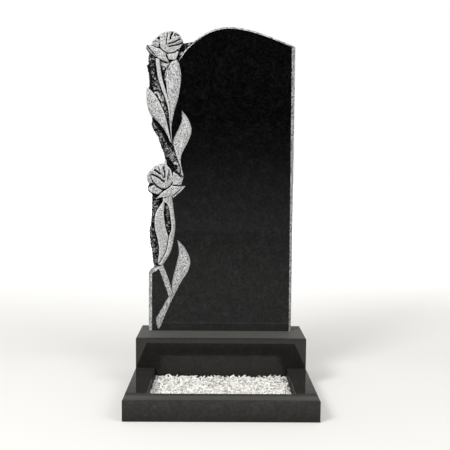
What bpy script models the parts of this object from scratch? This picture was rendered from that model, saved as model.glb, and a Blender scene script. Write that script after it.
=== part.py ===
"""Headstone: a carved granite slab on a plinth, with a low kerb round a bed of marble chips.

Metres, +Z up, the carved face towards -Y. The origin is the middle of the footprint, on the ground.
"""

import math

import bpy
import bmesh
import numpy as np
from mathutils.geometry import delaunay_2d_cdt
from mathutils.kdtree import KDTree

# Slab
SLAB_WIDTH = 0.525
SLAB_HEIGHT = 1.100
SLAB_THICKNESS = 0.080
SHOULDER_DROP = 0.067
APEX_SHARE = 0.551
MARGIN_LEFT = 0.012
MARGIN_ARCH = 0.006
MARGIN_RIGHT_TOP = 0.013
MARGIN_RIGHT_FOOT = 0.008
MARGIN_SLOPE = 0.45

# Plinth: how far it shows round the slab that stands on it, and its height
PLINTH_BEYOND_LEFT = 0.033
PLINTH_BEYOND_RIGHT = 0.042
PLINTH_IN_FRONT = 0.115
PLINTH_BEHIND = 0.005
PLINTH_HEIGHT = 0.170

# Kerb and its gravel
KERB_LENGTH = 0.335
KERB_HEIGHT = 0.065
KERB_FRONT_DEPTH = 0.068
KERB_SIDE_WIDTH = 0.068
GRAVEL_BELOW_RIM = 0.030
GRAVEL_ROUGHNESS = 0.004
CHIP_PITCH = 0.017

# Clearance between touching pieces, and the eased edges of the sawn blocks
JOINT_GAP = 0.0003
EDGE_EASE = 0.0018

# Carving: how finely it is cut, and how deep its grounds lie behind the polished face
OUTLINE_STEP = 0.0085
ROCK_STEP = 0.0085
LEAF_STEP = 0.0095
WALL_RUN = 0.0022
ROCK_DEPTH = 0.015
ROCK_SCOOP = 0.006
ROCK_CELL = 0.016
RIM_FALL = 0.008
RIM_RUN = 0.010
SNAP = 0.0009
MERGE = 1e-5
OVERRUN = 0.006
SEED = 11

# Sizes and places that follow from those above
PLINTH_WIDTH = PLINTH_BEYOND_LEFT + SLAB_WIDTH + PLINTH_BEYOND_RIGHT
PLINTH_DEPTH = PLINTH_IN_FRONT + SLAB_THICKNESS + PLINTH_BEHIND
TOTAL_DEPTH = KERB_LENGTH + PLINTH_DEPTH
KERB_FRONT = -TOTAL_DEPTH / 2
PLINTH_FRONT = KERB_FRONT + KERB_LENGTH
PLINTH_BACK = TOTAL_DEPTH / 2
SLAB_LEFT = PLINTH_BEYOND_LEFT - PLINTH_WIDTH / 2
SLAB_FRONT = PLINTH_FRONT + PLINTH_IN_FRONT
SLAB_FOOT = PLINTH_HEIGHT + JOINT_GAP
GRAVEL_LEVEL = KERB_HEIGHT - GRAVEL_BELOW_RIM

# Places in the carving are in thousandths of the slab's height, from its left edge and its foot
UNIT = SLAB_HEIGHT / 1000.0

POLISHED, HAMMERED, ROCK = 0, 1, 2

# The slab's left outline, upwards: foot, broken rock, lower rose, rock, leaf, rock, upper rose
LEFT_OUTLINE = (
    ((0, 0), (0, 197)),
    ((19, 212),),
    ((14, 232), (12, 264), (6, 293), (3, 334), (8, 360), (11, 407), (12, 455)),
    ((0, 466), (-2, 486)),
    ((1, 490),),
    ((-5, 510), (-1, 525), (12, 540), (30, 553), (54, 560)),
    ((55, 568), (51, 592), (42, 613), (32, 644), (17, 667), (11, 685), (12, 709)),
    ((4, 724), (-4, 755), (-6, 785), (-5, 805)),
    ((3, 809),),
    ((2, 836), (-2, 862), (-6, 877)),
    ((0, 888), (-1, 903), (3, 917)),
    ((-7, 930),),
    ((-5, 941),),
    ((9, 945), (12, 956), (27, 970)),
    ((42, 980), (71, 987), (95, 980), (108, 962), (113, 951)),
    ((153, 957),),
)

# Where the polished face stops against the carving, upwards, hidden under leaves and petals
CARVED_EDGE = ((48, 221), (66, 262), (79, 310), (83, 350), (79, 400), (75, 440), (92, 465), (98, 500),
               (108, 528), (102, 556), (96, 585), (87, 610), (79, 622), (73, 650), (73, 690), (80, 745),
               (90, 790), (97, 835), (94, 870), (96, 888))


class Form:
    """One carved form: its outline and how its surface lies behind the polished face."""

    def __init__(self, strokes, edge, rise, reach, wall=WALL_RUN, dome=None):
        self.strokes = strokes
        self.edge = edge
        self.rise = rise
        self.reach = reach
        self.wall = wall
        self.dome = dome


# Forms from the back to the front: each covers what came before it
FORMS = (
    # Large upper leaf against the polished face
    Form((((93, 897), (103, 865), (105, 830), (98, 780), (84, 730), (76, 690), (74, 655), (78, 621)),
          ((73, 652), (71, 690), (68, 747), (61, 790), (56, 825), (60, 853), (68, 884))),
         edge=0.0050, rise=0.0040, reach=0.014),
    # Stem beside it
    Form((((20, 900), (24, 865), (34, 818), (53, 772), (61, 730), (66, 690), (71, 652), (78, 621)),
          ((73, 652), (71, 690), (67, 747), (55, 796), (45, 837), (39, 866), (36, 900))),
         edge=0.0070, rise=0.0045, reach=0.005),
    # Leaf on the outer edge
    Form((((-16, 806), (-4, 805), (11, 793), (28, 771), (41, 747), (53, 718), (61, 688), (69, 652), (78, 621)),
          ((62, 647), (37, 679), (15, 708)),
          ((2, 714), (-14, 740), (-16, 780))),
         edge=0.0085, rise=0.0055, reach=0.013),
    # Small upper leaf on the polished face, and its stalk
    Form((((109, 731), (130, 703), (140, 666), (128, 628), (109, 591), (105, 562), (115, 516)),
          ((106, 524), (103, 547), (89, 587), (80, 622)),
          ((84, 643), (101, 678), (109, 700))),
         edge=0.0040, rise=0.0030, reach=0.013),
    # Lower leaf in the hollow, and the band that wraps it
    Form((((54, 445), (35, 417), (22, 395), (18, 367), (20, 338), (28, 306), (33, 270), (28, 224)),
          ((38, 232), (57, 268), (66, 316)),
          ((59, 335), (53, 365), (50, 395))),
         edge=0.0085, rise=0.0060, reach=0.012),
    Form((((76, 452), (82, 408), (88, 355), (82, 306), (72, 265), (46, 219)),
          ((28, 221),),
          ((38, 232), (57, 268), (66, 316)),
          ((74, 344), (71, 376), (62, 440))),
         edge=0.0050, rise=0.0035, reach=0.006),
    # Stem in two lengths down to its slanting cut end, and the lowest leaf
    Form((((35, 208), (67, 117)), ((83, 115),), ((65, 178), (48, 221))),
         edge=0.0040, rise=0.0030, reach=0.007),
    Form((((67, 117), (24, 41)), ((26, 24), (32, 7)), ((38, 12), (60, 66), (83, 115))),
         edge=0.0040, rise=0.0030, reach=0.007),
    Form((((95, 306), (114, 287), (130, 262), (138, 233), (130, 201), (108, 165), (83, 116)),
          ((77, 147), (81, 178), (92, 223), (100, 258), (100, 281))),
         edge=0.0040, rise=0.0030, reach=0.013),
    # Lower rose: outer petals, the two pointed petals below, then the head
    Form((((8, 540), (-14, 534)), ((-14, 492),), ((3, 490), (20, 492)), ((8, 511),)),
         edge=0.0170, rise=0.0030, reach=0.008),
    Form((((79, 532), (97, 522), (115, 513)), ((106, 487),), ((74, 487),)),
         edge=0.0080, rise=0.0025, reach=0.010),
    Form((((-12, 484), (14, 490)), ((34, 480), (45, 466)), ((28, 454), (10, 458), (-12, 464))),
         edge=0.0130, rise=0.0040, reach=0.010, wall=0.0035),
    Form((((19, 438), (41, 463)), ((68, 474), (77, 485)), ((121, 484),), ((106, 467), (82, 446)),
          ((70, 449), (41, 444))),
         edge=0.0050, rise=0.0035, reach=0.012, wall=0.0040),
    Form((((5, 530), (9, 508), (20, 492), (34, 480), (50, 474), (65, 478), (76, 491), (79, 510), (73, 537),
           (60, 553)), ((54, 572), (24, 572), (-2, 550))),
         edge=0.0100, rise=0.0095, reach=0.040, dome=(43, 513, 46)),
    # Upper rose: outer petals, the pointed petal and the sepal below, then the head
    Form((((36, 940), (36, 962), (30, 980)), ((12, 974), (2, 950)), ((11, 941), (26, 934))),
         edge=0.0170, rise=0.0030, reach=0.010),
    Form((((-14, 943), (11, 942), (24, 936), (40, 930), (62, 914)), ((57, 909), (66, 893), (63, 885)),
          ((44, 891), (24, 901), (3, 917)), ((-16, 930),)),
         edge=0.0090, rise=0.0060, reach=0.014, wall=0.0045),
    Form((((57, 913), (65, 895)), ((88, 893),), ((97, 922), (76, 918))),
         edge=0.0065, rise=0.0030, reach=0.008),
    Form((((34, 959), (34, 945), (38, 933), (49, 921), (65, 915), (84, 917), (97, 927), (105, 938), (113, 951)),
          ((126, 968), (105, 1000), (60, 1010), (30, 990))),
         edge=0.0100, rise=0.0095, reach=0.040, dome=(70, 949, 44)),
)


class Fold:
    """The edge of an overlapping petal: the ground dips just beyond it and comes back over its reach."""

    def __init__(self, points, dip, reach, side):
        self.points = points
        self.dip = dip
        self.reach = reach
        self.side = side


FOLDS = (
    # Upper rose
    Fold(((110, 950), (96, 944), (82, 940), (65, 936)), dip=0.0045, reach=0.008, side=-1),
    Fold(((103, 963), (88, 952), (64, 943)), dip=0.0045, reach=0.009, side=-1),
    Fold(((77, 985), (74, 972), (70, 958)), dip=0.0050, reach=0.006, side=-1),
    Fold(((62, 984), (61, 967), (58, 941)), dip=0.0035, reach=0.006, side=-1),
    # Lower rose
    Fold(((8, 524), (31, 513), (51, 499)), dip=0.0045, reach=0.009, side=1),
    Fold(((20, 537), (36, 526), (51, 512)), dip=0.0045, reach=0.007, side=1),
    Fold(((49, 549), (53, 530), (53, 514)), dip=0.0050, reach=0.006, side=1),
    Fold(((67, 540), (67, 522), (61, 503)), dip=0.0035, reach=0.006, side=1),
)


def clear_scene():
    for item in list(bpy.data.objects):
        bpy.data.objects.remove(item, do_unlink=True)


def make_material(name, color, roughness):
    material = bpy.data.materials.new(name)
    material.use_nodes = True
    shader = material.node_tree.nodes["Principled BSDF"]
    shader.inputs["Base Color"].default_value = (*color, 1.0)
    shader.inputs["Roughness"].default_value = roughness
    shader.inputs["Metallic"].default_value = 0.0
    material.diffuse_color = (*color, 1.0)
    return material


def curve_through(points, step):
    """A smooth curve through the points, sampled about every step."""
    points = [np.array(point, float) for point in points]
    if len(points) == 1:
        return points
    padded = [2 * points[0] - points[1]] + points + [2 * points[-1] - points[-2]]
    samples = [points[0]]
    for before, start, end, after in zip(padded, padded[1:], padded[2:], padded[3:]):
        count = max(1, round(float(np.linalg.norm(end - start)) / step))
        for index in range(1, count + 1):
            t = index / count
            samples.append(0.5 * (2 * start + (end - before) * t
                                  + (2 * before - 5 * start + 4 * end - after) * t ** 2
                                  + (3 * start - before - 3 * end + after) * t ** 3))
    return samples


def closed_outline(strokes, step):
    """A ring of smooth strokes that meet in corners: each runs on from the last point of the one before."""
    ring = []
    corner = strokes[-1][-1]
    for index, stroke in enumerate(strokes):
        points = list(stroke) if index == 0 else [corner] + list(stroke)
        line = curve_through(points, step)
        ring += line if index == 0 else line[1:]
        corner = stroke[-1]
    closing = curve_through([corner, strokes[0][0]], step)
    return np.array(ring + closing[1:-1])


def bezier(start, first, second, end, count):
    """Points of a cubic curve after its start, up to its end."""
    start, first, second, end = (np.array(point, float) for point in (start, first, second, end))
    points = []
    for index in range(1, count + 1):
        t = index / count
        u = 1.0 - t
        points.append(u ** 3 * start + 3 * u * u * t * first + 3 * u * t * t * second + t ** 3 * end)
    return points


def arch_line(inset, step):
    """The arch from its left end over the apex to the right shoulder, moved down by the inset."""
    left = np.array((153 * UNIT, 957 * UNIT - inset))
    apex = np.array((APEX_SHARE * SLAB_WIDTH, SLAB_HEIGHT - inset))
    shoulder = np.array((SLAB_WIDTH, SLAB_HEIGHT - SHOULDER_DROP - inset))
    run_up = apex[0] - left[0]
    rise_up = apex[1] - left[1]
    run_down = shoulder[0] - apex[0]
    drop = apex[1] - shoulder[1]
    line = [left]
    line += bezier(left, left + (0.31 * run_up, 0.68 * rise_up), apex - (0.35 * run_up, 0.0), apex,
                   max(4, round(run_up / step)))
    line += bezier(apex, apex + (0.29 * run_down, 0.0), shoulder + (-0.41 * run_down, 0.57 * drop), shoulder,
                   max(4, round(run_down / step)))
    return line


def slab_outline(step):
    """The slab's whole outline, from the left foot clockwise to the right foot, in metres."""
    ring = []
    corner = None
    for stroke in LEFT_OUTLINE:
        points = list(stroke) if corner is None else [corner] + list(stroke)
        line = curve_through(points, step / UNIT)
        ring += line if corner is None else line[1:]
        corner = stroke[-1]
    ring = [point * UNIT for point in ring]
    ring += arch_line(0.0, 2.0 * step)[1:]
    ring.append(np.array((SLAB_WIDTH, 0.0)))
    return np.array(ring)


def face_outline(step):
    """The polished face, inset from the slab's outline by the hammered margin."""
    ring = [np.array((MARGIN_LEFT, -OVERRUN)), np.array((MARGIN_LEFT, 193 * UNIT)),
            np.array((35 * UNIT, 208 * UNIT))]
    ring += [point * UNIT for point in curve_through(CARVED_EDGE, step / UNIT)]
    ring.append(np.array((128 * UNIT, 930 * UNIT)))
    arch = arch_line(MARGIN_ARCH, 2.0 * step)
    edge_top = SLAB_WIDTH - MARGIN_RIGHT_TOP
    kept = [point for point in arch if point[0] < edge_top]
    outer = next(point for point in arch if point[0] >= edge_top)
    share = (edge_top - kept[-1][0]) / (outer[0] - kept[-1][0])
    ring += kept
    ring.append(kept[-1] + share * (outer - kept[-1]))
    ring.append(np.array((SLAB_WIDTH - MARGIN_RIGHT_FOOT, -OVERRUN)))
    return np.array(ring)


def rock_outline(step):
    """The ground of broken rock: left of the carved edge, above the slanting margin, below the arch."""
    ring = [(-60, 200), (0, 197), (19, 212)]
    ring += [tuple(point) for point in curve_through(CARVED_EDGE, step / UNIT)]
    ring += [(118, 926), (153, 957), (150, 1040), (-60, 1040)]
    return np.array(ring) * UNIT


def inside_distance(points, ring):
    """Distance from each point to the ring, positive inside it and negative outside."""
    start = ring
    run = np.roll(ring, -1, axis=0) - start
    length_squared = np.maximum((run ** 2).sum(axis=1), 1e-18)
    offset = points[:, None, :] - start[None, :, :]
    share = np.clip((offset * run).sum(axis=2) / length_squared, 0.0, 1.0)
    nearest = offset - share[:, :, None] * run
    distance = np.sqrt((nearest ** 2).sum(axis=2).min(axis=1))
    end = start + run
    px = points[:, 0][:, None]
    pz = points[:, 1][:, None]
    spans = (start[:, 1] > pz) != (end[:, 1] > pz)
    rise = np.where(run[:, 1] == 0.0, 1.0, run[:, 1])
    crossing = start[:, 0] + (pz - start[:, 1]) / rise * run[:, 0]
    inside = (spans & (px < crossing)).sum(axis=1) % 2 == 1
    return np.where(inside, distance, -distance)


def line_distance(points, line):
    """Distance from each point to an open line, and its sign: positive on the line's left."""
    start = line[:-1]
    run = line[1:] - start
    offset = points[:, None, :] - start[None, :, :]
    share = np.clip((offset * run).sum(axis=2) / (run ** 2).sum(axis=1), 0.0, 1.0)
    nearest = offset - share[:, :, None] * run
    squared = (nearest ** 2).sum(axis=2)
    pick = squared.argmin(axis=1)
    rows = np.arange(len(points))
    cross = run[pick, 0] * offset[rows, pick, 1] - run[pick, 1] * offset[rows, pick, 0]
    return np.sqrt(squared[rows, pick]), np.sign(cross)


def smooth_share(value):
    value = np.clip(value, 0.0, 1.0)
    return value * value * (3.0 - 2.0 * value)


def scooped(points, cell):
    """Shallow scoops with sharp ridges between them, as a broken face shows: 0 on ridges, 1 in the scoops."""
    columns = np.floor(points / cell).astype(int)
    nearest = np.full(len(points), 9.0)
    for across in (-1, 0, 1):
        for up in (-1, 0, 1):
            place = columns + (across, up)
            phase = place[:, 0] * 127.1 + place[:, 1] * 311.7 + SEED
            jitter_x = np.modf(np.abs(np.sin(phase) * 43758.5453))[0]
            jitter_z = np.modf(np.abs(np.sin(phase * 1.3 + 1.7) * 22578.1459))[0]
            centre = (place + np.stack((jitter_x, jitter_z), axis=1)) * cell
            nearest = np.minimum(nearest, ((points - centre) ** 2).sum(axis=1) / cell ** 2)
    return 1.0 - np.clip(nearest, 0.0, 1.0)


class Carving:
    """The carved front: its depth behind the polished face, and which finish lies where."""

    def __init__(self, step):
        self.outline = slab_outline(step)
        self.face = face_outline(step)
        self.rock = rock_outline(step)
        self.rings = [closed_outline(form.strokes, step / UNIT) * UNIT for form in FORMS]
        self.folds = [np.array(curve_through(fold.points, step / UNIT)) * UNIT for fold in FOLDS]

    def at(self, points):
        """Depth and finish at points across the slab."""
        rim = np.maximum(inside_distance(points, self.outline), 0.0)
        beyond_face = np.maximum(-inside_distance(points, self.face), 0.0)
        depth = MARGIN_SLOPE * beyond_face
        kind = np.where(beyond_face > 0.0, HAMMERED, POLISHED)
        in_rock = inside_distance(points, self.rock)
        scoop = ROCK_SCOOP * (scooped(points, ROCK_CELL) - 0.5)
        fall = RIM_FALL * (1.0 - smooth_share(rim / RIM_RUN))
        share = smooth_share(in_rock / WALL_RUN)
        depth = depth + share * (ROCK_DEPTH + scoop + fall - depth)
        kind = np.where(in_rock > 0.0, ROCK, kind)
        for form, ring in zip(FORMS, self.rings):
            inside = inside_distance(points, ring)
            share = smooth_share(inside / form.wall)
            if form.dome:
                centre = np.array(form.dome[:2]) * UNIT
                radius = form.dome[2] * UNIT
                height = 1.0 - ((points - centre) ** 2).sum(axis=1) / radius ** 2
            else:
                height = 1.0 - (1.0 - np.clip(inside / form.reach, 0.0, 1.0)) ** 2
            surface = form.edge - form.rise * height
            surface = surface + 0.5 * RIM_FALL * (1.0 - smooth_share(rim / (0.6 * RIM_RUN)))
            depth = depth + share * (surface - depth)
            kind = np.where(inside > 0.0, HAMMERED, kind)
        for fold, line in zip(FOLDS, self.folds):
            away, side = line_distance(points, line)
            beyond = (side == fold.side) & (away < fold.reach)
            dip = smooth_share(away / (0.5 * WALL_RUN)) * fold.dip * (1.0 - away / fold.reach)
            depth = depth + np.where(beyond, dip, 0.0)
        return depth, kind


def offset_ring(ring, distance):
    """Points moved inwards from a ring, with a flag for those that stay that far inside it."""
    along = np.roll(ring, -1, axis=0) - np.roll(ring, 1, axis=0)
    along /= np.maximum(np.linalg.norm(along, axis=1), 1e-9)[:, None]
    normal = np.stack((-along[:, 1], along[:, 0]), axis=1)
    area = (ring[:, 0] * np.roll(ring[:, 1], -1) - np.roll(ring[:, 0], -1) * ring[:, 1]).sum()
    moved = ring + normal * distance * (1.0 if area > 0.0 else -1.0)
    kept = inside_distance(moved, ring) > 0.85 * distance
    return moved, kept


def offset_line(line, distance):
    """An open line moved to its left by a distance."""
    along = np.gradient(line, axis=0)
    along /= np.linalg.norm(along, axis=1)[:, None]
    return line + np.stack((-along[:, 1], along[:, 0]), axis=1) * distance


class Net:
    """Points and the edges that the triangles have to follow."""

    def __init__(self, outline):
        self.outline = outline
        self.points = []
        self.edges = []
        self.places = {}

    def number(self, point):
        """The number of a point, shared with one that is already within the snapping distance."""
        cell = (math.floor(point[0] / SNAP), math.floor(point[1] / SNAP))
        for across in (-1, 0, 1):
            for up in (-1, 0, 1):
                for other in self.places.get((cell[0] + across, cell[1] + up), ()):
                    if math.dist(self.points[other], point) < SNAP:
                        return other
        self.points.append(tuple(point))
        self.places.setdefault(cell, []).append(len(self.points) - 1)
        return len(self.points) - 1

    def add_line(self, line, kept=None, closed=False):
        """Add a line. Stretches wholly outside the slab, or not kept, are left out."""
        line = np.asarray(line)
        inside = inside_distance(line, self.outline) > 0.0
        kept = np.ones(len(line), bool) if kept is None else kept
        count = len(line)
        for start in range(count if closed else count - 1):
            end = (start + 1) % count
            if kept[start] and kept[end] and (inside[start] or inside[end]):
                first, second = self.number(line[start]), self.number(line[end])
                if first != second:
                    self.edges.append((first, second))

    def add_ring(self, ring):
        numbers = [self.number(point) for point in ring]
        self.edges += [pair for pair in zip(numbers, numbers[1:] + numbers[:1]) if pair[0] != pair[1]]

    def add_fill(self, points, spacing):
        """Add loose points that keep clear of the ones already there."""
        tree = KDTree(len(self.points))
        for index, point in enumerate(self.points):
            tree.insert((point[0], point[1], 0.0), index)
        tree.balance()
        for point in points:
            if tree.find((point[0], point[1], 0.0))[2] > spacing:
                self.points.append(tuple(point))


def jittered_grid(low, high, spacing, generator):
    """Loose points about a spacing apart, in staggered rows."""
    points = []
    for row, z in enumerate(np.arange(low[1], high[1], spacing * 0.87)):
        for x in np.arange(low[0] + (row % 2) * spacing / 2, high[0], spacing):
            points.append((x, z))
    points = np.array(points)
    return points + generator.uniform(-0.18, 0.18, points.shape) * spacing


def triangulate(points, edges, outline):
    """Triangles along the edges that lie inside an outline, and their points."""
    result = delaunay_2d_cdt(points, edges, [], 0, MERGE, False)
    points = np.array([tuple(point) for point in result[0]])
    faces = np.array([tuple(face) for face in result[2]])
    centres = points[faces].mean(axis=1)
    keep = inside_distance(centres, outline) > 0.0
    faces = faces[keep]
    corners = points[faces]
    first = corners[:, 1] - corners[:, 0]
    second = corners[:, 2] - corners[:, 0]
    turn = first[:, 0] * second[:, 1] - first[:, 1] * second[:, 0]
    faces[turn < 0.0] = faces[turn < 0.0][:, ::-1]
    return points, faces


def border_loop(faces):
    """The vertices round the triangulation's border, in order."""
    sides = {}
    for face in faces:
        for start, end in zip(face, np.roll(face, -1)):
            sides[(int(start), int(end))] = True
    following = {start: end for (start, end) in sides if (end, start) not in sides}
    first = next(iter(following))
    loop = [first]
    while following[loop[-1]] != first:
        loop.append(following[loop[-1]])
    return loop


def slab_net(carving):
    """The net of the carved front: outlines, the feet of their walls, folds and loose points."""
    net = Net(carving.outline)
    net.add_ring(carving.outline)
    net.add_line(carving.face, closed=True)
    net.add_line(carving.rock, closed=True)
    for form, ring in zip(FORMS, carving.rings):
        net.add_line(ring, closed=True)
        moved, kept = offset_ring(ring, form.wall)
        net.add_line(moved, kept=kept, closed=True)
    for fold, line in zip(FOLDS, carving.folds):
        net.add_line(line)
        net.add_line(offset_line(line, fold.side * 0.5 * WALL_RUN))
    generator = np.random.default_rng(SEED)
    low = carving.rock.min(axis=0)
    high = (0.16 * SLAB_HEIGHT, 0.99 * SLAB_HEIGHT)
    loose = jittered_grid(low, high, ROCK_STEP, generator)
    loose = loose[inside_distance(loose, carving.outline) > 0.3 * ROCK_STEP]
    carved = inside_distance(loose, carving.rock) > 0.0
    for ring in carving.rings:
        carved |= inside_distance(loose, ring) > 0.0
    net.add_fill(loose[carved], 0.55 * LEAF_STEP)
    return net


def make_slab():
    """The slab: the carved front, straight sides along its outline and a flat back."""
    carving = Carving(OUTLINE_STEP)
    net = slab_net(carving)
    points, faces = triangulate(net.points, net.edges, carving.outline)
    depth, _ = carving.at(points)
    centres = points[faces].mean(axis=1)
    _, finish = carving.at(centres)
    mesh = bmesh.new()
    front_verts = [mesh.verts.new((SLAB_LEFT + x, SLAB_FRONT + d, SLAB_FOOT + z))
                   for (x, z), d in zip(points, depth)]
    for face, kind in zip(faces, finish):
        mesh.faces.new([front_verts[index] for index in face]).material_index = int(kind)
    loop = border_loop(faces)
    slab_back = SLAB_FRONT + SLAB_THICKNESS
    back_verts = [mesh.verts.new((SLAB_LEFT + points[index][0], slab_back, SLAB_FOOT + points[index][1]))
                  for index in loop]
    count = len(loop)
    for index in range(count):
        after = (index + 1) % count
        wall = mesh.faces.new((front_verts[loop[after]], front_verts[loop[index]],
                               back_verts[index], back_verts[after]))
        wall.material_index = HAMMERED
    border = [(index, (index + 1) % count) for index in range(count)]
    _, back_faces = triangulate(points[loop].tolist(), border, points[loop])
    for face in back_faces:
        mesh.faces.new([back_verts[index] for index in face[::-1]]).material_index = HAMMERED
    used = {vert for face in mesh.faces for vert in face.verts}
    bmesh.ops.delete(mesh, geom=[vert for vert in mesh.verts if vert not in used], context="VERTS")
    bmesh.ops.triangulate(mesh, faces=mesh.faces)
    bmesh.ops.recalc_face_normals(mesh, faces=mesh.faces)
    return finish_object("stele", mesh, (polished_granite(), hammered_granite(), broken_granite()))


def finish_object(name, mesh, materials):
    """Turn a bmesh into a named object with its materials."""
    data = bpy.data.meshes.new(name)
    mesh.to_mesh(data)
    mesh.free()
    item = bpy.data.objects.new(name, data)
    bpy.context.scene.collection.objects.link(item)
    for material in materials:
        data.materials.append(material)
    return item


def polished_granite():
    return make_material("polished_granite", (0.012, 0.012, 0.013), 0.08)


def hammered_granite():
    return make_material("hammered_granite", (0.52, 0.52, 0.52), 0.75)


def broken_granite():
    return make_material("broken_granite", (0.09, 0.09, 0.09), 0.65)


def marble():
    return make_material("marble_chips", (0.85, 0.85, 0.84), 0.55)


def make_block(name, low, high, material):
    """A sawn block with eased edges between two corners."""
    size = [b - a for a, b in zip(low, high)]
    mesh = bmesh.new()
    bmesh.ops.create_cube(mesh, size=1.0)
    bmesh.ops.scale(mesh, vec=size, verts=mesh.verts)
    block = finish_object(name, mesh, (material,))
    block.location = [(a + b) / 2 for a, b in zip(low, high)]
    ease = block.modifiers.new("eased edges", "BEVEL")
    ease.width = min(EDGE_EASE, 0.2 * min(size))
    ease.segments = 2
    ease.limit_method = "ANGLE"
    return block


def make_gravel():
    """The chips as one bed: a flat underside and a broken, uneven top."""
    inner_left = -PLINTH_WIDTH / 2 + KERB_SIDE_WIDTH + JOINT_GAP
    inner_right = -inner_left
    inner_front = KERB_FRONT + KERB_FRONT_DEPTH + JOINT_GAP
    inner_back = PLINTH_FRONT - JOINT_GAP
    columns = max(3, round((inner_right - inner_left) / CHIP_PITCH))
    rows = max(3, round((inner_back - inner_front) / CHIP_PITCH))
    generator = np.random.default_rng(SEED)
    mesh = bmesh.new()
    top = {}
    bottom = {}
    for column in range(columns + 1):
        for row in range(rows + 1):
            edge_x = column in (0, columns)
            edge_y = row in (0, rows)
            shift = generator.uniform(-0.28, 0.28, 2) * CHIP_PITCH
            x = inner_left + (inner_right - inner_left) * column / columns + (0.0 if edge_x else shift[0])
            y = inner_front + (inner_back - inner_front) * row / rows + (0.0 if edge_y else shift[1])
            z = GRAVEL_LEVEL + generator.uniform(-1.0, 1.0) * GRAVEL_ROUGHNESS
            top[column, row] = mesh.verts.new((x, y, z))
            if edge_x or edge_y:
                bottom[column, row] = mesh.verts.new((x, y, 0.0))
    for column in range(columns):
        for row in range(rows):
            corners = [top[column, row], top[column + 1, row], top[column + 1, row + 1], top[column, row + 1]]
            turn = (column + row) % 2
            mesh.faces.new((corners[turn], corners[turn + 1], corners[turn + 2]))
            mesh.faces.new((corners[turn], corners[turn + 2], corners[(turn + 3) % 4]))
    border = [(column, 0) for column in range(columns)]
    border += [(columns, row) for row in range(rows)]
    border += [(column, rows) for column in range(columns, 0, -1)]
    border += [(0, row) for row in range(rows, 0, -1)]
    for start, end in zip(border, border[1:] + border[:1]):
        mesh.faces.new((top[start], bottom[start], bottom[end], top[end]))
    mesh.faces.new([bottom[place] for place in reversed(border)])
    bmesh.ops.triangulate(mesh, faces=mesh.faces)
    bmesh.ops.recalc_face_normals(mesh, faces=mesh.faces)
    return finish_object("gravel_bed", mesh, (marble(),))


def make_kerb():
    """Two side rails butted between the full-width front bar and the plinth."""
    granite = polished_granite()
    half = PLINTH_WIDTH / 2
    bar_back = KERB_FRONT + KERB_FRONT_DEPTH
    rail_front = bar_back + JOINT_GAP
    rail_back = PLINTH_FRONT - JOINT_GAP
    make_block("kerb_front", (-half, KERB_FRONT, 0.0), (half, bar_back, KERB_HEIGHT), granite)
    make_block("kerb_left", (-half, rail_front, 0.0), (KERB_SIDE_WIDTH - half, rail_back, KERB_HEIGHT), granite)
    make_block("kerb_right", (half - KERB_SIDE_WIDTH, rail_front, 0.0), (half, rail_back, KERB_HEIGHT), granite)


def make_plinth():
    half = PLINTH_WIDTH / 2
    make_block("plinth", (-half, PLINTH_FRONT, 0.0), (half, PLINTH_BACK, PLINTH_HEIGHT), polished_granite())


def main():
    clear_scene()
    make_plinth()
    make_slab()
    make_kerb()
    make_gravel()


main()
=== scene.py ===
"""The looks of the headstone: its granite, its carving in full and the marble chips, round the CAD frame.

Metres, +Z up, the carved face towards -Y, in the same frame as the CAD model.
"""

import math
from collections import namedtuple

import bpy
import bmesh
import numpy as np
from mathutils import Euler, Matrix, Vector
from mathutils.geometry import delaunay_2d_cdt
from mathutils.kdtree import KDTree


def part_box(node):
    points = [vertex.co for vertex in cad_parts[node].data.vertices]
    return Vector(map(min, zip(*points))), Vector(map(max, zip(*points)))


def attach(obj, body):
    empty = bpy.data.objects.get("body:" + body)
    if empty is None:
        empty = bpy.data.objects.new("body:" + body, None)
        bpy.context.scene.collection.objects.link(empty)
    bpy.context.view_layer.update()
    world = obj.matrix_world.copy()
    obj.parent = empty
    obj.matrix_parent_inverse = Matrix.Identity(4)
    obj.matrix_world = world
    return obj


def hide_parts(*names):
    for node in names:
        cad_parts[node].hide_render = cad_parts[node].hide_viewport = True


# Camera: the photograph's viewpoint, measured from the plinth's front face, and its lens
IMAGE_SIZE = 450
FOCAL_PIXELS = 643.5
SENSOR_WIDTH = 36.0
CAMERA_X = -0.0157
CAMERA_BEFORE_PLINTH = 2.2248
CAMERA_HEIGHT = 0.742
CAMERA_PITCH = 4.392
CAMERA_YAW = -0.658
CAMERA_ROLL = 0.504

# Slab: sizes that the outline needs, as in the CAD model
SLAB_WIDTH = 0.525
SHOULDER_DROP = 0.067
APEX_SHARE = 0.551
MARGIN_LEFT = 0.012
MARGIN_ARCH = 0.006
MARGIN_RIGHT_TOP = 0.013
MARGIN_RIGHT_FOOT = 0.008
MARGIN_SLOPE = 0.45

# Arch: where it starts, and the pulls of its curve as shares of its runs and heights
ARCH_START = (153, 957)
START_PULL = (0.31, 0.68)
APEX_PULLS = (0.35, 0.29)
SHOULDER_PULL = (0.41, 0.57)
ARCH_FEWEST = 4

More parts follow.
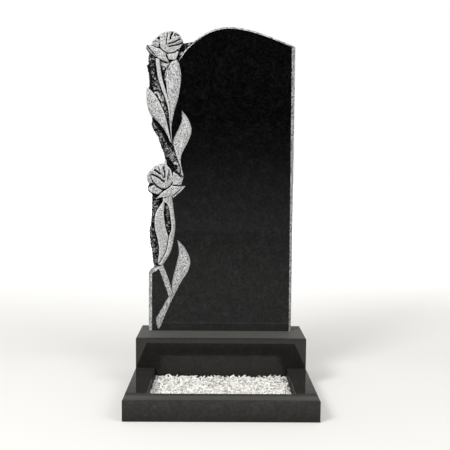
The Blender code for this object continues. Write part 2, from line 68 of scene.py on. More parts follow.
# Carving: how finely it is cut, and how deep its grounds lie behind the polished face
OUTLINE_STEP = 0.0030
FILL_STEP = 0.0018
EDGE_STEP = 0.0050
WALL_RUN = 0.0018
ROCK_DEPTH = 0.015
ROCK_SCOOPS = ((0.019, 0.0080), (0.0090, 0.0055), (0.0042, 0.0022))
RIM_FALL = 0.008
RIM_RUN = 0.010
FORM_FALL = 0.5 * RIM_FALL
FORM_RUN = 0.6 * RIM_RUN
ROCK_RAG = 1.1
CARVED_SHARE = 0.25
EDGE_OUT = 2.5
EDGE_OUT_SPAN = (205, 225, 940, 958)
CUT_FLOOR = 0.50
CUT_SPREAD = 0.50
# Painted shade in the carving: how far it spreads in a cut, how dark cuts and the broken rim are painted, and
# how much pale ground lifts it
DARK_SPREAD = 0.55
PAINTED_CUT_SHADE = 0.0018
CUT_BLACK = 0.0036
PAINTED_RIM_SHADE = 0.0008
RIM_BAND = 0.006
PALE_LIFT = 0.0007
SNAP = 0.0007
MERGE = 1e-5
OVERRUN = 0.006
TONE_CORE = 0.4
KEPT_SHARE = 0.85
ROW_SHARE = 0.87
FILL_RIM = 0.3
FILL_CLEAR = 0.6
BLUR_ROUNDS = 4
POLISH_RINGS = 2
FILL_JITTER = 0.18
FILL_REACH = 0.16
FILL_TOP = 0.995
SHARP_ANGLE = 38.0
POINTS_AT_ONCE = 4000
SEED = 11

# Numbers that scatter the scoops of broken rock without a pattern: rate, start and size
SCATTER = (127.1, 311.7)
JITTER = ((1.0, 0.0, 43758.5453), (1.3, 1.7, 22578.1459))
SCOOP_START = 3.0

# Chips: spacing and drop below the bed's top of each layer
CHIP_LAYERS = ((0.0100, -0.012), (0.0110, -0.007), (0.0150, -0.003))
CHIP_RADIUS = 0.0068
CHIP_SIZES = (0.70, 1.25)
CHIP_LEAST = (1.1, 0.45, 0.38)
CHIP_MOST = (2.1, 0.72, 0.60)
CHIP_SHIFT = (1.0, 1.0, 0.4)
CHIP_TILT = 0.9
CHIP_TURN = 6.28
CHIP_CORNERS = 9
CHIP_TINTS = (0.86, 1.0)
CHIP_WARMTH = (1.0, 0.99, 0.96)
CHIP_GAP = 0.0004
CHIP_RISE = 0.005

# Studio: the glow round the horizon (sine of the elevation, strength) and the lights
FRONT_GLOW = ((-0.10, 0.60), (-0.046, 0.38), (-0.01, 0.27), (0.027, 0.13), (0.064, 0.06), (0.090, 0.01),
              (0.35, 0.01), (0.60, 1.0))
REAR_GLOW = ((-0.10, 1.0), (0.275, 1.0), (0.34, 0.30), (0.60, 0.60))
GLOW_LOW = -0.12
GLOW_TURN = (-0.30, 0.20)
WORLD_STRENGTH = 1.0
LIGHT_AIM = (0.0, 0.1, 0.6)
LIGHTS = (("key", (-1.9, -2.0, 2.9), 1.2, 88.0), ("fill", (2.2, -1.6, 2.4), 1.6, 36.0))
FLOOR_REACH = 60.0
FLOOR_FRONT = -6.0
FLOOR_DROP = 0.0005
FLOOR_TINT = (0.98, 0.965, 0.92)
FLOOR_DIM = (-0.75, -0.50, 0.36, 0.66)
FLOOR_GLOW = 0.15
FLOOR_GLOW_RUN = (0.5, 5.0)

# Stone: sizes of its crystals and clouds in metres, its shades, the painted shade and highlight of the
# carving, the painted reflection on tops with the bands along their edges where it is left off, and the
# painted reflection at the slab's foot
CRYSTAL = 0.0085
CLOUD_SPAN = (0.38, 0.66, 0.75, 1.25)
FLECK_SPAN = (0.52, 0.64)
FLECK_SHADES = ((0.0, 6.0), (0.13, 0.0))
GLOSS_SPAN = (0.3, 0.7, 0.012, 0.035)
CRYSTAL_SHADES = ((0.38, 0.30), (0.48, 0.85), (0.56, 1.4), (0.66, 2.3))
FLECK = 0.0042
FLECK_PATCH = 0.009
CLOUD = 0.035
SMEAR = 0.040
WARM = (1.12, 1.0, 0.88)
CALM = 0.65
MATT_TOP = 0.65
MATT_SIDE = 0.60
UPWARD = (0.94, 0.99)
SIDEWAYS = (0.90, 0.98)
PAINTED_GROUND_SHADE = (0.50, 1.15)
GRAIN_TOP = 0.60
GRAIN_GAIN = (2.7, 0.85)
DRIFT = 0.022
DRIFT_SHADES = ((0.35, 0.92), (0.65, 1.0))
RIGHT_RUN = (0.17, 0.23)
LIT_SPAN = (-0.0002, -0.0010, 0.0, 0.4)
LIT_SHADE = 0.86
PAINTED_SHADE_SPAN = (0.00015, 0.0010)
PAINTED_SHADE_GREY = 0.003
PIT_SHADES = ((0.39, 0.06), (0.45, 0.34), (0.52, 0.58), (0.60, 0.92))
ROCK_CRYSTAL = 0.0038
ROCK_GRAIN = 0.0026
ROCK_PATCH = 0.018
ROCK_SHADES = ((0.44, 0.003), (0.54, 0.025), (0.66, 0.10), (0.90, 0.48))
ROCK_SPAN = (0.40, 1.30)
ROCK_SHARES = (0.65, 0.35, 0.7, 0.30)
RIDGE_SPAN = (-0.0004, -0.0013)
ROCK_PAINTED_SHADE_SPAN = (0.0002, 0.0011)
ROCK_PAINTED_SHADE_GREY = 0.002
BRUISE = 0.007
BRUISE_SPAN = (1.10, 1.55)
RIDGE_BRUISE_AND_HIGHLIGHT = 0.65
PALE_SPAN = (1.0, 1.5)
PALE_SHADE = 0.72
SAW_STEP = 0.004
SAWN_GRAIN = 0.0025
VEIN = 0.012
MARBLE_GRAIN = 0.0020
SAW_SHADES = ((0.3, 0.85), (0.7, 1.0))
SAWN_SHADES = ((0.3, 0.035), (0.6, 0.065), (0.8, 0.12))
MARBLE_SHADES = ((0.33, (0.82, 0.82, 0.80)), (0.48, (0.94, 0.93, 0.91)), (0.7, (0.97, 0.96, 0.94)))
FRONT_BAND = 0.010
REAR_BAND = 0.018
PAINTED_TOP_REFLECTION = (0.075, 0.073, 0.067)
TOP_CLOUD = ((0.35, 0.94), (0.65, 1.06))
BAND_FADE = 1.3
REFLECTION_CLOUD = 0.020
REFLECTION_DIM = (0.86, 1.04)
FOOT_REFLECTION_FADE = 0.65
FOOT_REFLECTION_HEIGHT = 0.034
PAINTED_FOOT_REFLECTION = 0.014

POLISHED, HAMMERED, ROCK, SAWN, MARGIN = 0, 1, 2, 3, 4

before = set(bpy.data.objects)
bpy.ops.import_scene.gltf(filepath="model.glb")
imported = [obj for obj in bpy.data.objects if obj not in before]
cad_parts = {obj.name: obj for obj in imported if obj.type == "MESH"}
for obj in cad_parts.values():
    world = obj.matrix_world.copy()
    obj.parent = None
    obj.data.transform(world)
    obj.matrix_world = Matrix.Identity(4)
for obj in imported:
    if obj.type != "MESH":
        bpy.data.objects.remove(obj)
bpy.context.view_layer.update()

SLAB_LOW, SLAB_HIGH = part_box("stele")
PLINTH_LOW, PLINTH_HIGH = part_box("plinth")
BAR_LOW, BAR_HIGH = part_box("kerb_front")
BED_LOW, BED_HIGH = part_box("gravel_bed")
SLAB_FOOT = SLAB_LOW[2]
SLAB_HEIGHT = SLAB_HIGH[2] - SLAB_LOW[2]
SLAB_FRONT = SLAB_LOW[1]
SLAB_BACK = SLAB_HIGH[1]
UNIT = SLAB_HEIGHT / 1000.0
SLAB_LEFT = SLAB_HIGH[0] - SLAB_WIDTH

# Places in the carving are in thousandths of the slab's height, from its left edge and its foot

# The slab's left outline, upwards: foot, broken rock, lower rose, rock, leaf, rock, upper rose
LEFT_OUTLINE = (
    ((0, 0), (0, 197)),
    ((19, 212),),
    ((14, 232), (12, 264), (6, 293), (3, 334), (8, 360), (11, 407), (12, 455)),
    ((0, 466), (-2, 486)),
    ((1, 490),),
    ((-5, 510), (-1, 525), (12, 540), (30, 553), (54, 560)),
    ((55, 568), (51, 592), (42, 613), (32, 644), (17, 667), (11, 685), (12, 709)),
    ((4, 724), (-4, 755), (-6, 785), (-5, 805)),
    ((3, 809),),
    ((2, 836), (-2, 862), (-6, 877)),
    ((0, 888), (-1, 903), (3, 917)),
    ((-7, 931),),
    ((-4, 945),),
    ((9, 945), (12, 956), (27, 970)),
    ((42, 980), (71, 987), (95, 980), (108, 962), (113, 951)),
    (ARCH_START,),
)

# Where the polished face stops against the carving, upwards, hidden under leaves and petals
CARVED_EDGE = ((48, 221), (66, 262), (79, 310), (83, 350), (79, 400), (75, 440), (92, 465), (98, 500),
               (108, 528), (102, 556), (96, 585), (87, 610), (79, 622), (73, 650), (73, 690), (80, 745),
               (90, 790), (97, 835), (94, 870), (96, 888))

# Corners of the polished face beyond that edge, and of the rock ground at its foot and top
FACE_KNEE = 193
FACE_CORNER = (35, 208)
FACE_TOP = (128, 930)
ROCK_FOOT = ((-60, 200), (0, 197), (19, 212))
ROCK_TOP = ((118, 926), ARCH_START, (150, 1040), (-60, 1040))

# One carved form: its outline, and how its surface lies behind the polished face
Form = namedtuple("Form", "strokes edge rise reach wall dome", defaults=(WALL_RUN, None))

# Forms from the back to the front: each covers what came before it
FORMS = (
    # Large upper leaf against the polished face
    Form((((93, 897), (103, 865), (105, 830), (98, 780), (84, 730), (76, 690), (74, 655), (78, 621)),
          ((73, 652), (71, 690), (67, 747), (59, 790), (56, 825), (57, 850), (63, 870), (72, 888))),
         edge=0.0050, rise=0.0040, reach=0.014),
    # Stem beside it
    Form((((21, 899), (25, 862), (29, 838), (40, 802), (53, 770), (62, 738), (67, 700), (71, 652), (78, 621)),
          ((75, 652), (74, 690), (70, 747), (57, 792), (46, 828), (40, 858), (35, 899))),
         edge=0.0070, rise=0.0045, reach=0.005),
    # Leaf on the outer edge
    Form((((-16, 806), (-4, 805), (11, 793), (28, 771), (41, 747), (53, 718), (61, 688), (69, 652),
            (78, 621)),
          ((69, 630), (60, 650), (48, 670), (32, 690), (13, 709)),
          ((2, 714), (-14, 740), (-16, 780))),
         edge=0.0085, rise=0.0055, reach=0.013),
    # Small upper leaf on the polished face, and its stalk
    Form((((109, 731), (130, 703), (140, 666), (128, 628), (109, 591), (105, 562), (115, 516)),
          ((106, 524), (103, 547), (89, 587), (80, 622)),
          ((84, 643), (101, 678), (109, 700))),
         edge=0.0040, rise=0.0030, reach=0.013),
    # Lower leaf in the hollow, and the band that wraps it
    Form((((54, 445), (35, 417), (22, 395), (18, 367), (20, 338), (28, 306), (33, 270), (28, 224)),
          ((38, 232), (57, 268), (66, 316)),
          ((59, 335), (53, 365), (50, 395))),
         edge=0.0085, rise=0.0060, reach=0.012),
    Form((((76, 452), (82, 408), (88, 355), (82, 306), (72, 265), (46, 219)),
          ((28, 221),),
          ((38, 232), (57, 268), (66, 316)),
          ((74, 344), (71, 376), (67, 405), (60, 424)), ((46, 434), (46, 452))),
         edge=0.0050, rise=0.0035, reach=0.006),
    # Stem in two lengths down to its slanting cut end, and the lowest leaf
    Form((((35, 208), (67, 117)), ((83, 115),), ((65, 178), (48, 221))),
         edge=0.0040, rise=0.0030, reach=0.007),
    Form((((67, 117), (24, 41)), ((26, 24), (32, 7)), ((38, 12), (60, 66), (83, 115))),
         edge=0.0040, rise=0.0030, reach=0.007),
    Form((((95, 306), (114, 287), (130, 262), (138, 233), (130, 201), (108, 165), (83, 116)),
          ((77, 147), (81, 178), (92, 223), (100, 258), (100, 281))),
         edge=0.0040, rise=0.0030, reach=0.013),
    # Lower rose: outer petals, the two pointed petals below, then the head
    Form((((8, 540), (-14, 534)), ((-14, 492),), ((3, 490), (20, 492)), ((8, 511),)),
         edge=0.0170, rise=0.0030, reach=0.008),
    Form((((79, 532), (97, 522), (115, 513)), ((106, 487),), ((74, 487),)),
         edge=0.0080, rise=0.0025, reach=0.010),
    Form((((-12, 484), (14, 490)), ((34, 480), (45, 466)), ((28, 454), (10, 458), (-12, 464))),
         edge=0.0130, rise=0.0040, reach=0.010, wall=0.0035),
    Form((((19, 438), (41, 463)), ((62, 478), (74, 492)), ((82, 486), (121, 484)), ((106, 467), (82, 446)),
          ((70, 449), (41, 444))),
         edge=0.0050, rise=0.0035, reach=0.012, wall=0.0040),
    Form((((5, 530), (9, 508), (20, 492), (34, 480), (50, 474), (65, 478), (76, 491), (79, 510), (73, 537),
           (60, 553)), ((54, 572), (24, 572), (-2, 550))),
         edge=0.0100, rise=0.0095, reach=0.040, dome=(43, 513, 46)),
    # Upper rose: outer petals, the pointed petal and the sepal below, then the head
    Form((((36, 940), (36, 962), (30, 980)), ((12, 974), (2, 950)), ((11, 941), (26, 934))),
         edge=0.0170, rise=0.0030, reach=0.010),
    Form((((-14, 949), (-2, 945), (11, 942), (24, 936), (40, 930), (62, 914)),
          ((57, 909), (66, 893), (63, 885)),
          ((44, 891), (24, 901), (3, 917)), ((-16, 930),)),
         edge=0.0090, rise=0.0060, reach=0.014, wall=0.0045),
    Form((((57, 913), (65, 895)), ((88, 893),), ((97, 922), (76, 918))),
         edge=0.0065, rise=0.0030, reach=0.008),
    Form((((34, 959), (34, 945), (38, 933), (49, 921), (65, 915), (84, 917), (97, 927), (105, 938),
            (113, 951)),
          ((126, 968), (105, 1000), (60, 1010), (30, 990))),
         edge=0.0100, rise=0.0095, reach=0.040, dome=(70, 949, 44)),
)

# The edge of an overlapping petal: the ground dips just beyond it and comes back over its reach
Fold = namedtuple("Fold", "points dip reach side")

FOLDS = (
    # Upper rose
    Fold(((110, 950), (96, 944), (82, 940), (65, 936)), dip=0.0045, reach=0.008, side=-1),
    Fold(((103, 963), (88, 952), (64, 943)), dip=0.0045, reach=0.009, side=-1),
    Fold(((77, 985), (74, 972), (70, 958)), dip=0.0050, reach=0.006, side=-1),
    Fold(((62, 984), (61, 967), (58, 941)), dip=0.0035, reach=0.006, side=-1),
    # Lower rose
    Fold(((8, 524), (31, 513), (51, 499)), dip=0.0045, reach=0.009, side=1),
    Fold(((20, 537), (36, 526), (51, 512)), dip=0.0045, reach=0.007, side=1),
    Fold(((49, 549), (53, 530), (53, 514)), dip=0.0050, reach=0.006, side=1),
    Fold(((67, 540), (67, 522), (61, 503)), dip=0.0035, reach=0.006, side=1),
)

# A groove cut with the point of a chisel, its bottom painted dark as shade: points, width in thousandths,
# depth in metres
Cut = namedtuple("Cut", "points width depth")

CUTS = (
    # Upper rose: slits of the bud, its curl, and the petals behind it
    Cut(((77, 984), (75, 976), (71, 968), (71, 961)), 7.6, 0.0060),
    Cut(((101, 961), (96, 958), (89, 954), (81, 950), (74, 948), (67, 946)), 6.4, 0.0048),
    Cut(((109, 950), (102, 946), (94, 942), (84, 940), (74, 938), (66, 936)), 6.2, 0.0048),
    Cut(((61, 980), (60, 967), (58, 958), (58, 945)), 3.8, 0.0018),
    Cut(((87, 978), (84, 975), (84, 972), (87, 970)), 3.8, 0.0037),
    Cut(((92, 974), (95, 973)), 6.6, 0.0050),
    Cut(((26, 969), (33, 964)), 10.0, 0.0080),
    Cut(((35, 944), (38, 933), (43, 927), (50, 921), (58, 917), (69, 916), (81, 917), (88, 921), (94, 927)),
        5.2, 0.0044),
    Cut(((12, 942), (18, 938), (26, 935)), 3.8, 0.0035),
    Cut(((12, 954), (26, 954)), 3.2, 0.0015),
    Cut(((-4, 938), (9, 922), (27, 902)), 4.4, 0.0030),
    Cut(((-8, 932), (5, 917), (20, 903)), 8.0, 0.0010),
    Cut(((27, 901), (35, 895), (50, 888), (59, 885)), 4.6, 0.0045),
    Cut(((50, 862), (56, 868), (62, 875)), 3.4, 0.0040),
    Cut(((64, 862), (69, 868)), 4.0, 0.0030),
    Cut(((58, 907), (61, 902), (65, 895), (88, 894), (91, 899), (95, 907)), 4.6, 0.0040),
    # Lower rose
    Cut(((20, 536), (26, 532), (32, 528), (37, 524)), 7.8, 0.0060),
    Cut(((37, 524), (44, 517), (50, 511)), 3.6, 0.0020),
    Cut(((8, 521), (19, 518), (30, 513), (38, 508), (45, 502), (50, 498)), 7.0, 0.0056),
    Cut(((47, 546), (49, 538), (52, 529), (53, 521), (52, 515), (50, 511)), 5.6, 0.0034),
    Cut(((66, 537), (66, 527), (63, 515), (62, 507)), 3.8, 0.0020),
    Cut(((32, 545), (37, 533)), 3.8, 0.0018),
    Cut(((12, 500), (16, 492), (22, 484), (32, 477), (44, 474), (55, 475), (65, 479), (73, 487), (78, 495)),
        5.6, 0.0032),
    Cut(((-8, 484), (2, 486), (8, 488)), 13.0, 0.0088),
    Cut(((8, 488), (15, 489)), 7.0, 0.0070),
    Cut(((32, 455), (40, 463), (47, 469)), 3.6, 0.0018),
    Cut(((-4, 468), (6, 460), (20, 456), (31, 452)), 7.4, 0.0060),
    Cut(((18, 437), (32, 439), (44, 442), (55, 446)), 4.6, 0.0040),
    Cut(((55, 446), (79, 451)), 3.2, 0.0018),
    Cut(((81, 452), (104, 473)), 3.6, 0.0018),
    Cut(((81, 486), (100, 486), (106, 486)), 3.8, 0.0037),
    Cut(((89, 527), (97, 521), (105, 514)), 4.6, 0.0050),
    # Outer leaf: the line along its raised edge
    Cut(((-11, 796), (-10, 770), (0, 735), (20, 706), (45, 676), (66, 650)), 2.9, 0.0013),
)

# A stretch of broken ground bruised pale, or painted black where the amount is negative
Tone = namedtuple("Tone", "points radius amount")

TONES = (
    # Left of the stem: black along the edge, flecked further in
    Tone(((-1, 880), (0, 868), (-1, 855), (3, 845), (4, 825), (4, 812), (8, 799)), 7, -1.2),
    Tone(((10, 832), (17, 828)), 5, -0.8),
    Tone(((20, 880), (21, 862), (24, 845)), 3, -0.8),
    Tone(((5, 877), (12, 875)), 5, 0.6),
    Tone(((6, 859), (10, 857)), 5, 0.7),
    Tone(((11, 840), (16, 837)), 5, 0.6),
    Tone(((18, 803), (31, 803)), 6, 0.8),
    Tone(((22, 797), (35, 795)), 3, -0.6),
    Tone(((6, 895), (14, 906), (20, 897)), 9, 0.35),
    # Between the outer leaf and the stem
    Tone(((40, 790), (46, 770), (54, 742), (60, 715), (63, 700)), 8, 0.40),
    Tone(((20, 788), (27, 789), (31, 781), (35, 771), (41, 765)), 4, 1.6),
    Tone(((40, 753), (45, 747)), 4, 1.5),
    Tone(((54, 725), (54, 716)), 3, 1.2),
    Tone(((22, 781), (28, 777)), 3, -1.0),
    Tone(((31, 766), (35, 761)), 4, -1.2),
    Tone(((40, 795), (43, 784)), 3, -0.8),
    Tone(((51, 768), (52, 758)), 4, -0.7),
    Tone(((55, 749), (59, 737)), 4, -0.9),
    Tone(((61, 692), (65, 684)), 3, -1.0),
    # The slot under the upper rose
    Tone(((38, 886), (52, 882), (60, 876)), 10, 1.5),
    Tone(((42, 862), (46, 856), (48, 848)), 5, -0.9),
    Tone(((60, 842), (62, 852)), 5, 1.4),
    Tone(((46, 868), (50, 865)), 3, 1.5),
    Tone(((57, 872), (65, 872)), 4, 1.6),
    Tone(((53, 846), (57, 856), (60, 864)), 4, 1.6),
    Tone(((53, 840), (55, 832), (58, 815)), 4, 1.4),
    # Between the roses: black under the leaf as a painted shadow, flecked towards the lower rose
    Tone(((13, 706), (23, 693), (34, 681), (44, 667), (53, 653), (61, 638), (67, 623)), 7, -1.5),
    Tone(((18, 691), (22, 682), (29, 675)), 5, 0.2),
    Tone(((40, 648), (50, 639), (57, 628)), 6, 0.3),
    Tone(((62, 615), (68, 602), (66, 592)), 10, 0.35),
    Tone(((78, 592), (84, 579), (76, 573)), 8, 0.9),
    Tone(((56, 562), (62, 553), (69, 545)), 5, -1.2),
    Tone(((58, 573), (66, 567), (72, 557), (80, 553), (88, 551)), 5, -1.2),
    Tone(((76, 545), (82, 536), (87, 528)), 7, -0.8),
    Tone(((85, 559), (93, 556)), 5, 1.6),
    Tone(((98, 546), (99, 530)), 5, 1.1),
    # Below the lower rose
    Tone(((14, 452), (23, 449)), 6, -0.8),
    Tone(((21, 428), (27, 410)), 7, 0.2),
    Tone(((12, 440), (10, 400), (9, 375)), 4, -0.4),
    Tone(((12, 360), (13, 350)), 5, -1.0),
    Tone(((54, 412), (59, 398), (61, 384), (63, 365), (64, 340)), 8, 0.35),
    Tone(((59, 416), (60, 410)), 3, 1.5),
    Tone(((52, 403), (53, 380), (57, 371)), 3, -0.8),
    # Right of the upper rose
    Tone(((100, 936), (112, 931), (121, 943), (141, 951)), 6, -0.9),
    Tone(((97, 900), (104, 909), (100, 916)), 5, 0.3),
    Tone(((105, 914), (108, 919)), 4, 1.7),
    Tone(((127, 945), (133, 949)), 4, 1.7),
    Tone(((117, 936), (119, 940)), 3, 1.3),
)

# Heights between which the slab's left edge is broken rock
ROCK_SPANS = ((214, 462), (564, 712), (806, 915))


def in_rock_span(height):
    """Whether the slab's left edge is broken rock at a height."""
    return any(low < height < high for low, high in ROCK_SPANS)


def curve_through(points, step):
    """A smooth curve through the points, sampled about every step."""
    points = [np.array(point, float) for point in points]
    if len(points) == 1:
        return points
    padded = [2 * points[0] - points[1]] + points + [2 * points[-1] - points[-2]]
    samples = [points[0]]
    for before, start, end, after in zip(padded, padded[1:], padded[2:], padded[3:]):
        count = max(1, round(float(np.linalg.norm(end - start)) / step))
        for index in range(1, count + 1):
            t = index / count
            samples.append(0.5 * (2 * start + (end - before) * t
                                  + (2 * before - 5 * start + 4 * end - after) * t ** 2
                                  + (3 * start - before - 3 * end + after) * t ** 3))
    return samples


def run_of_strokes(strokes, step):
    """Smooth strokes that meet in corners: each runs on from the last point of the one before."""
    run = []
    corner = ()
    for stroke in strokes:
        run += curve_through((*corner, *stroke), step)[len(corner):]
        corner = stroke[-1:]
    return run


def closed_outline(strokes, step):
    """A ring of smooth strokes that meet in corners."""
    closing = curve_through((strokes[-1][-1], strokes[0][0]), step)
    return np.array(run_of_strokes(strokes, step) + closing[1:-1])


def bezier(start, first, second, end, count):
    """Points of a cubic curve after its start, up to its end."""
    start, first, second, end = (np.array(point, float) for point in (start, first, second, end))
    points = []
    for index in range(1, count + 1):
        t = index / count
        u = 1.0 - t
        points.append(u ** 3 * start + 3 * u * u * t * first + 3 * u * t * t * second + t ** 3 * end)
    return points


def arch_line(inset, step):
    """The arch from its left end over the apex to the right shoulder, moved down by the inset."""
    left = np.array(ARCH_START) * UNIT - (0.0, inset)
    apex = np.array((APEX_SHARE * SLAB_WIDTH, SLAB_HEIGHT - inset))
    shoulder = np.array((SLAB_WIDTH, SLAB_HEIGHT - SHOULDER_DROP - inset))
    up = apex - left
    down = shoulder - apex
    rise = bezier(left, left + START_PULL * up, apex - (APEX_PULLS[0] * up[0], 0.0), apex,
                  max(ARCH_FEWEST, round(up[0] / step)))
    fall = bezier(apex, apex + (APEX_PULLS[1] * down[0], 0.0), shoulder - SHOULDER_PULL * down, shoulder,
                  max(ARCH_FEWEST, round(down[0] / step)))
    return [left] + rise + fall


def slab_outline(step):
    """The slab's whole outline, from the left foot clockwise to the right foot, in metres."""
    ring = run_of_strokes(LEFT_OUTLINE, step / UNIT)
    generator = np.random.default_rng(SEED)
    for point in ring:
        if in_rock_span(point[1]):
            point += generator.uniform(-ROCK_RAG, ROCK_RAG, 2)
        if point[0] < CARVED_SHARE * SLAB_WIDTH / UNIT:
            point[0] -= EDGE_OUT * np.interp(point[1], EDGE_OUT_SPAN, (0.0, 1.0, 1.0, 0.0))
    ring = [point * UNIT for point in ring]
    ring += arch_line(0.0, EDGE_STEP)[1:]
    shoulder = ring[-1]
    foot = np.array((SLAB_WIDTH, 0.0))
    ring += curve_through([shoulder, foot], 2.0 * EDGE_STEP)[1:]
    ring += curve_through([foot, ring[0]], 2.0 * EDGE_STEP)[1:-1]
    return np.array(ring)


def face_outline(step):
    """The polished face, inset from the slab's outline by the hammered margin."""
    corner = np.array((MARGIN_LEFT, FACE_KNEE * UNIT))
    ring = curve_through([np.array((MARGIN_LEFT, -OVERRUN)), corner], EDGE_STEP)
    ring += curve_through([corner, np.array(FACE_CORNER) * UNIT], EDGE_STEP)[1:]
    ring += [point * UNIT for point in curve_through(CARVED_EDGE, step / UNIT)]
    ring.append(np.array(FACE_TOP) * UNIT)
    arch = arch_line(MARGIN_ARCH, EDGE_STEP)
    edge_top = SLAB_WIDTH - MARGIN_RIGHT_TOP
    kept = [point for point in arch if point[0] < edge_top]
    outer = next(point for point in arch if point[0] >= edge_top)
    share = (edge_top - kept[-1][0]) / (outer[0] - kept[-1][0])
    ring += kept
    top = kept[-1] + share * (outer - kept[-1])
    ring += curve_through([top, np.array((SLAB_WIDTH - MARGIN_RIGHT_FOOT, -OVERRUN))], EDGE_STEP)
    return np.array(ring)


def rock_outline(step):
    """The ground of broken rock: left of the carved edge, above the slanting margin, below the arch."""
    edge = curve_through(CARVED_EDGE, step / UNIT)
    return np.array([*ROCK_FOOT, *edge, *ROCK_TOP]) * UNIT


def inside_distance(points, ring):
    """Distance from each point to the ring, positive inside it and negative outside."""
    start = ring
    run = np.roll(ring, -1, axis=0) - start
    length_squared = np.maximum((run ** 2).sum(axis=1), 1e-18)
    rise = np.where(run[:, 1] == 0.0, 1.0, run[:, 1])
    end_z = start[:, 1] + run[:, 1]
    result = np.empty(len(points))
    for first in range(0, len(points), POINTS_AT_ONCE):
        some = points[first:first + POINTS_AT_ONCE]
        offset = some[:, None, :] - start[None, :, :]
        share = np.clip((offset * run).sum(axis=2) / length_squared, 0.0, 1.0)
        nearest = offset - share[:, :, None] * run
        distance = np.sqrt((nearest ** 2).sum(axis=2).min(axis=1))
        px = some[:, 0][:, None]
        pz = some[:, 1][:, None]
        spans = (start[:, 1] > pz) != (end_z > pz)
        crossing = start[:, 0] + (pz - start[:, 1]) / rise * run[:, 0]
        inside = (spans & (px < crossing)).sum(axis=1) % 2 == 1
        result[first:first + POINTS_AT_ONCE] = np.where(inside, distance, -distance)
    return result


def inside_part(points, ring):
    """As inside_distance, worked out only for points in the ring's box: the rest count as outside."""
    low = ring.min(axis=0)
    high = ring.max(axis=0)
    near = ((points > low) & (points < high)).all(axis=1)
    result = np.full(len(points), -1.0)
    if near.any():
        result[near] = inside_distance(points[near], ring)
    return result


def line_distance(points, line):
    """Distance from each point to an open line, and its sign: positive on the line's left."""
    start = line[:-1]
    run = line[1:] - start
    offset = points[:, None, :] - start[None, :, :]
    share = np.clip((offset * run).sum(axis=2) / (run ** 2).sum(axis=1), 0.0, 1.0)
    nearest = offset - share[:, :, None] * run
    squared = (nearest ** 2).sum(axis=2)
    pick = squared.argmin(axis=1)
    rows = np.arange(len(points))
    cross = run[pick, 0] * offset[rows, pick, 1] - run[pick, 1] * offset[rows, pick, 0]
    return np.sqrt(squared[rows, pick]), np.sign(cross)


def line_part(points, line, reach):
    """As line_distance, worked out only for points within reach of the line's box: the rest count as far."""
    near = ((points > line.min(axis=0) - reach) & (points < line.max(axis=0) + reach)).all(axis=1)
    away = np.full(len(points), 1.0)
    side = np.zeros(len(points))
    if near.any():
        away[near], side[near] = line_distance(points[near], line)
    return away, side


def smooth_share(value):
    """A value held between 0 and 1, with soft ends."""
    value = np.clip(value, 0.0, 1.0)
    return value * value * (3.0 - 2.0 * value)


def scooped(points, cell):
    """Shallow scoops with sharp ridges between them, as a broken face shows: 0 on ridges, 1 in the scoops."""
    columns = np.floor(points / cell).astype(int)
    nearest = np.full(len(points), 9.0)
    for across in (-1, 0, 1):
        for up in (-1, 0, 1):
            place = columns + (across, up)
            phase = (place * SCATTER).sum(axis=1) + SEED
            jitter = [np.modf(np.abs(np.sin(phase * rate + start) * size))[0] for rate, start, size in JITTER]
            centre = (place + np.stack(jitter, axis=1)) * cell
            nearest = np.minimum(nearest, ((points - centre) ** 2).sum(axis=1) / cell ** 2)
    return 1.0 - np.clip(nearest, 0.0, 1.0)


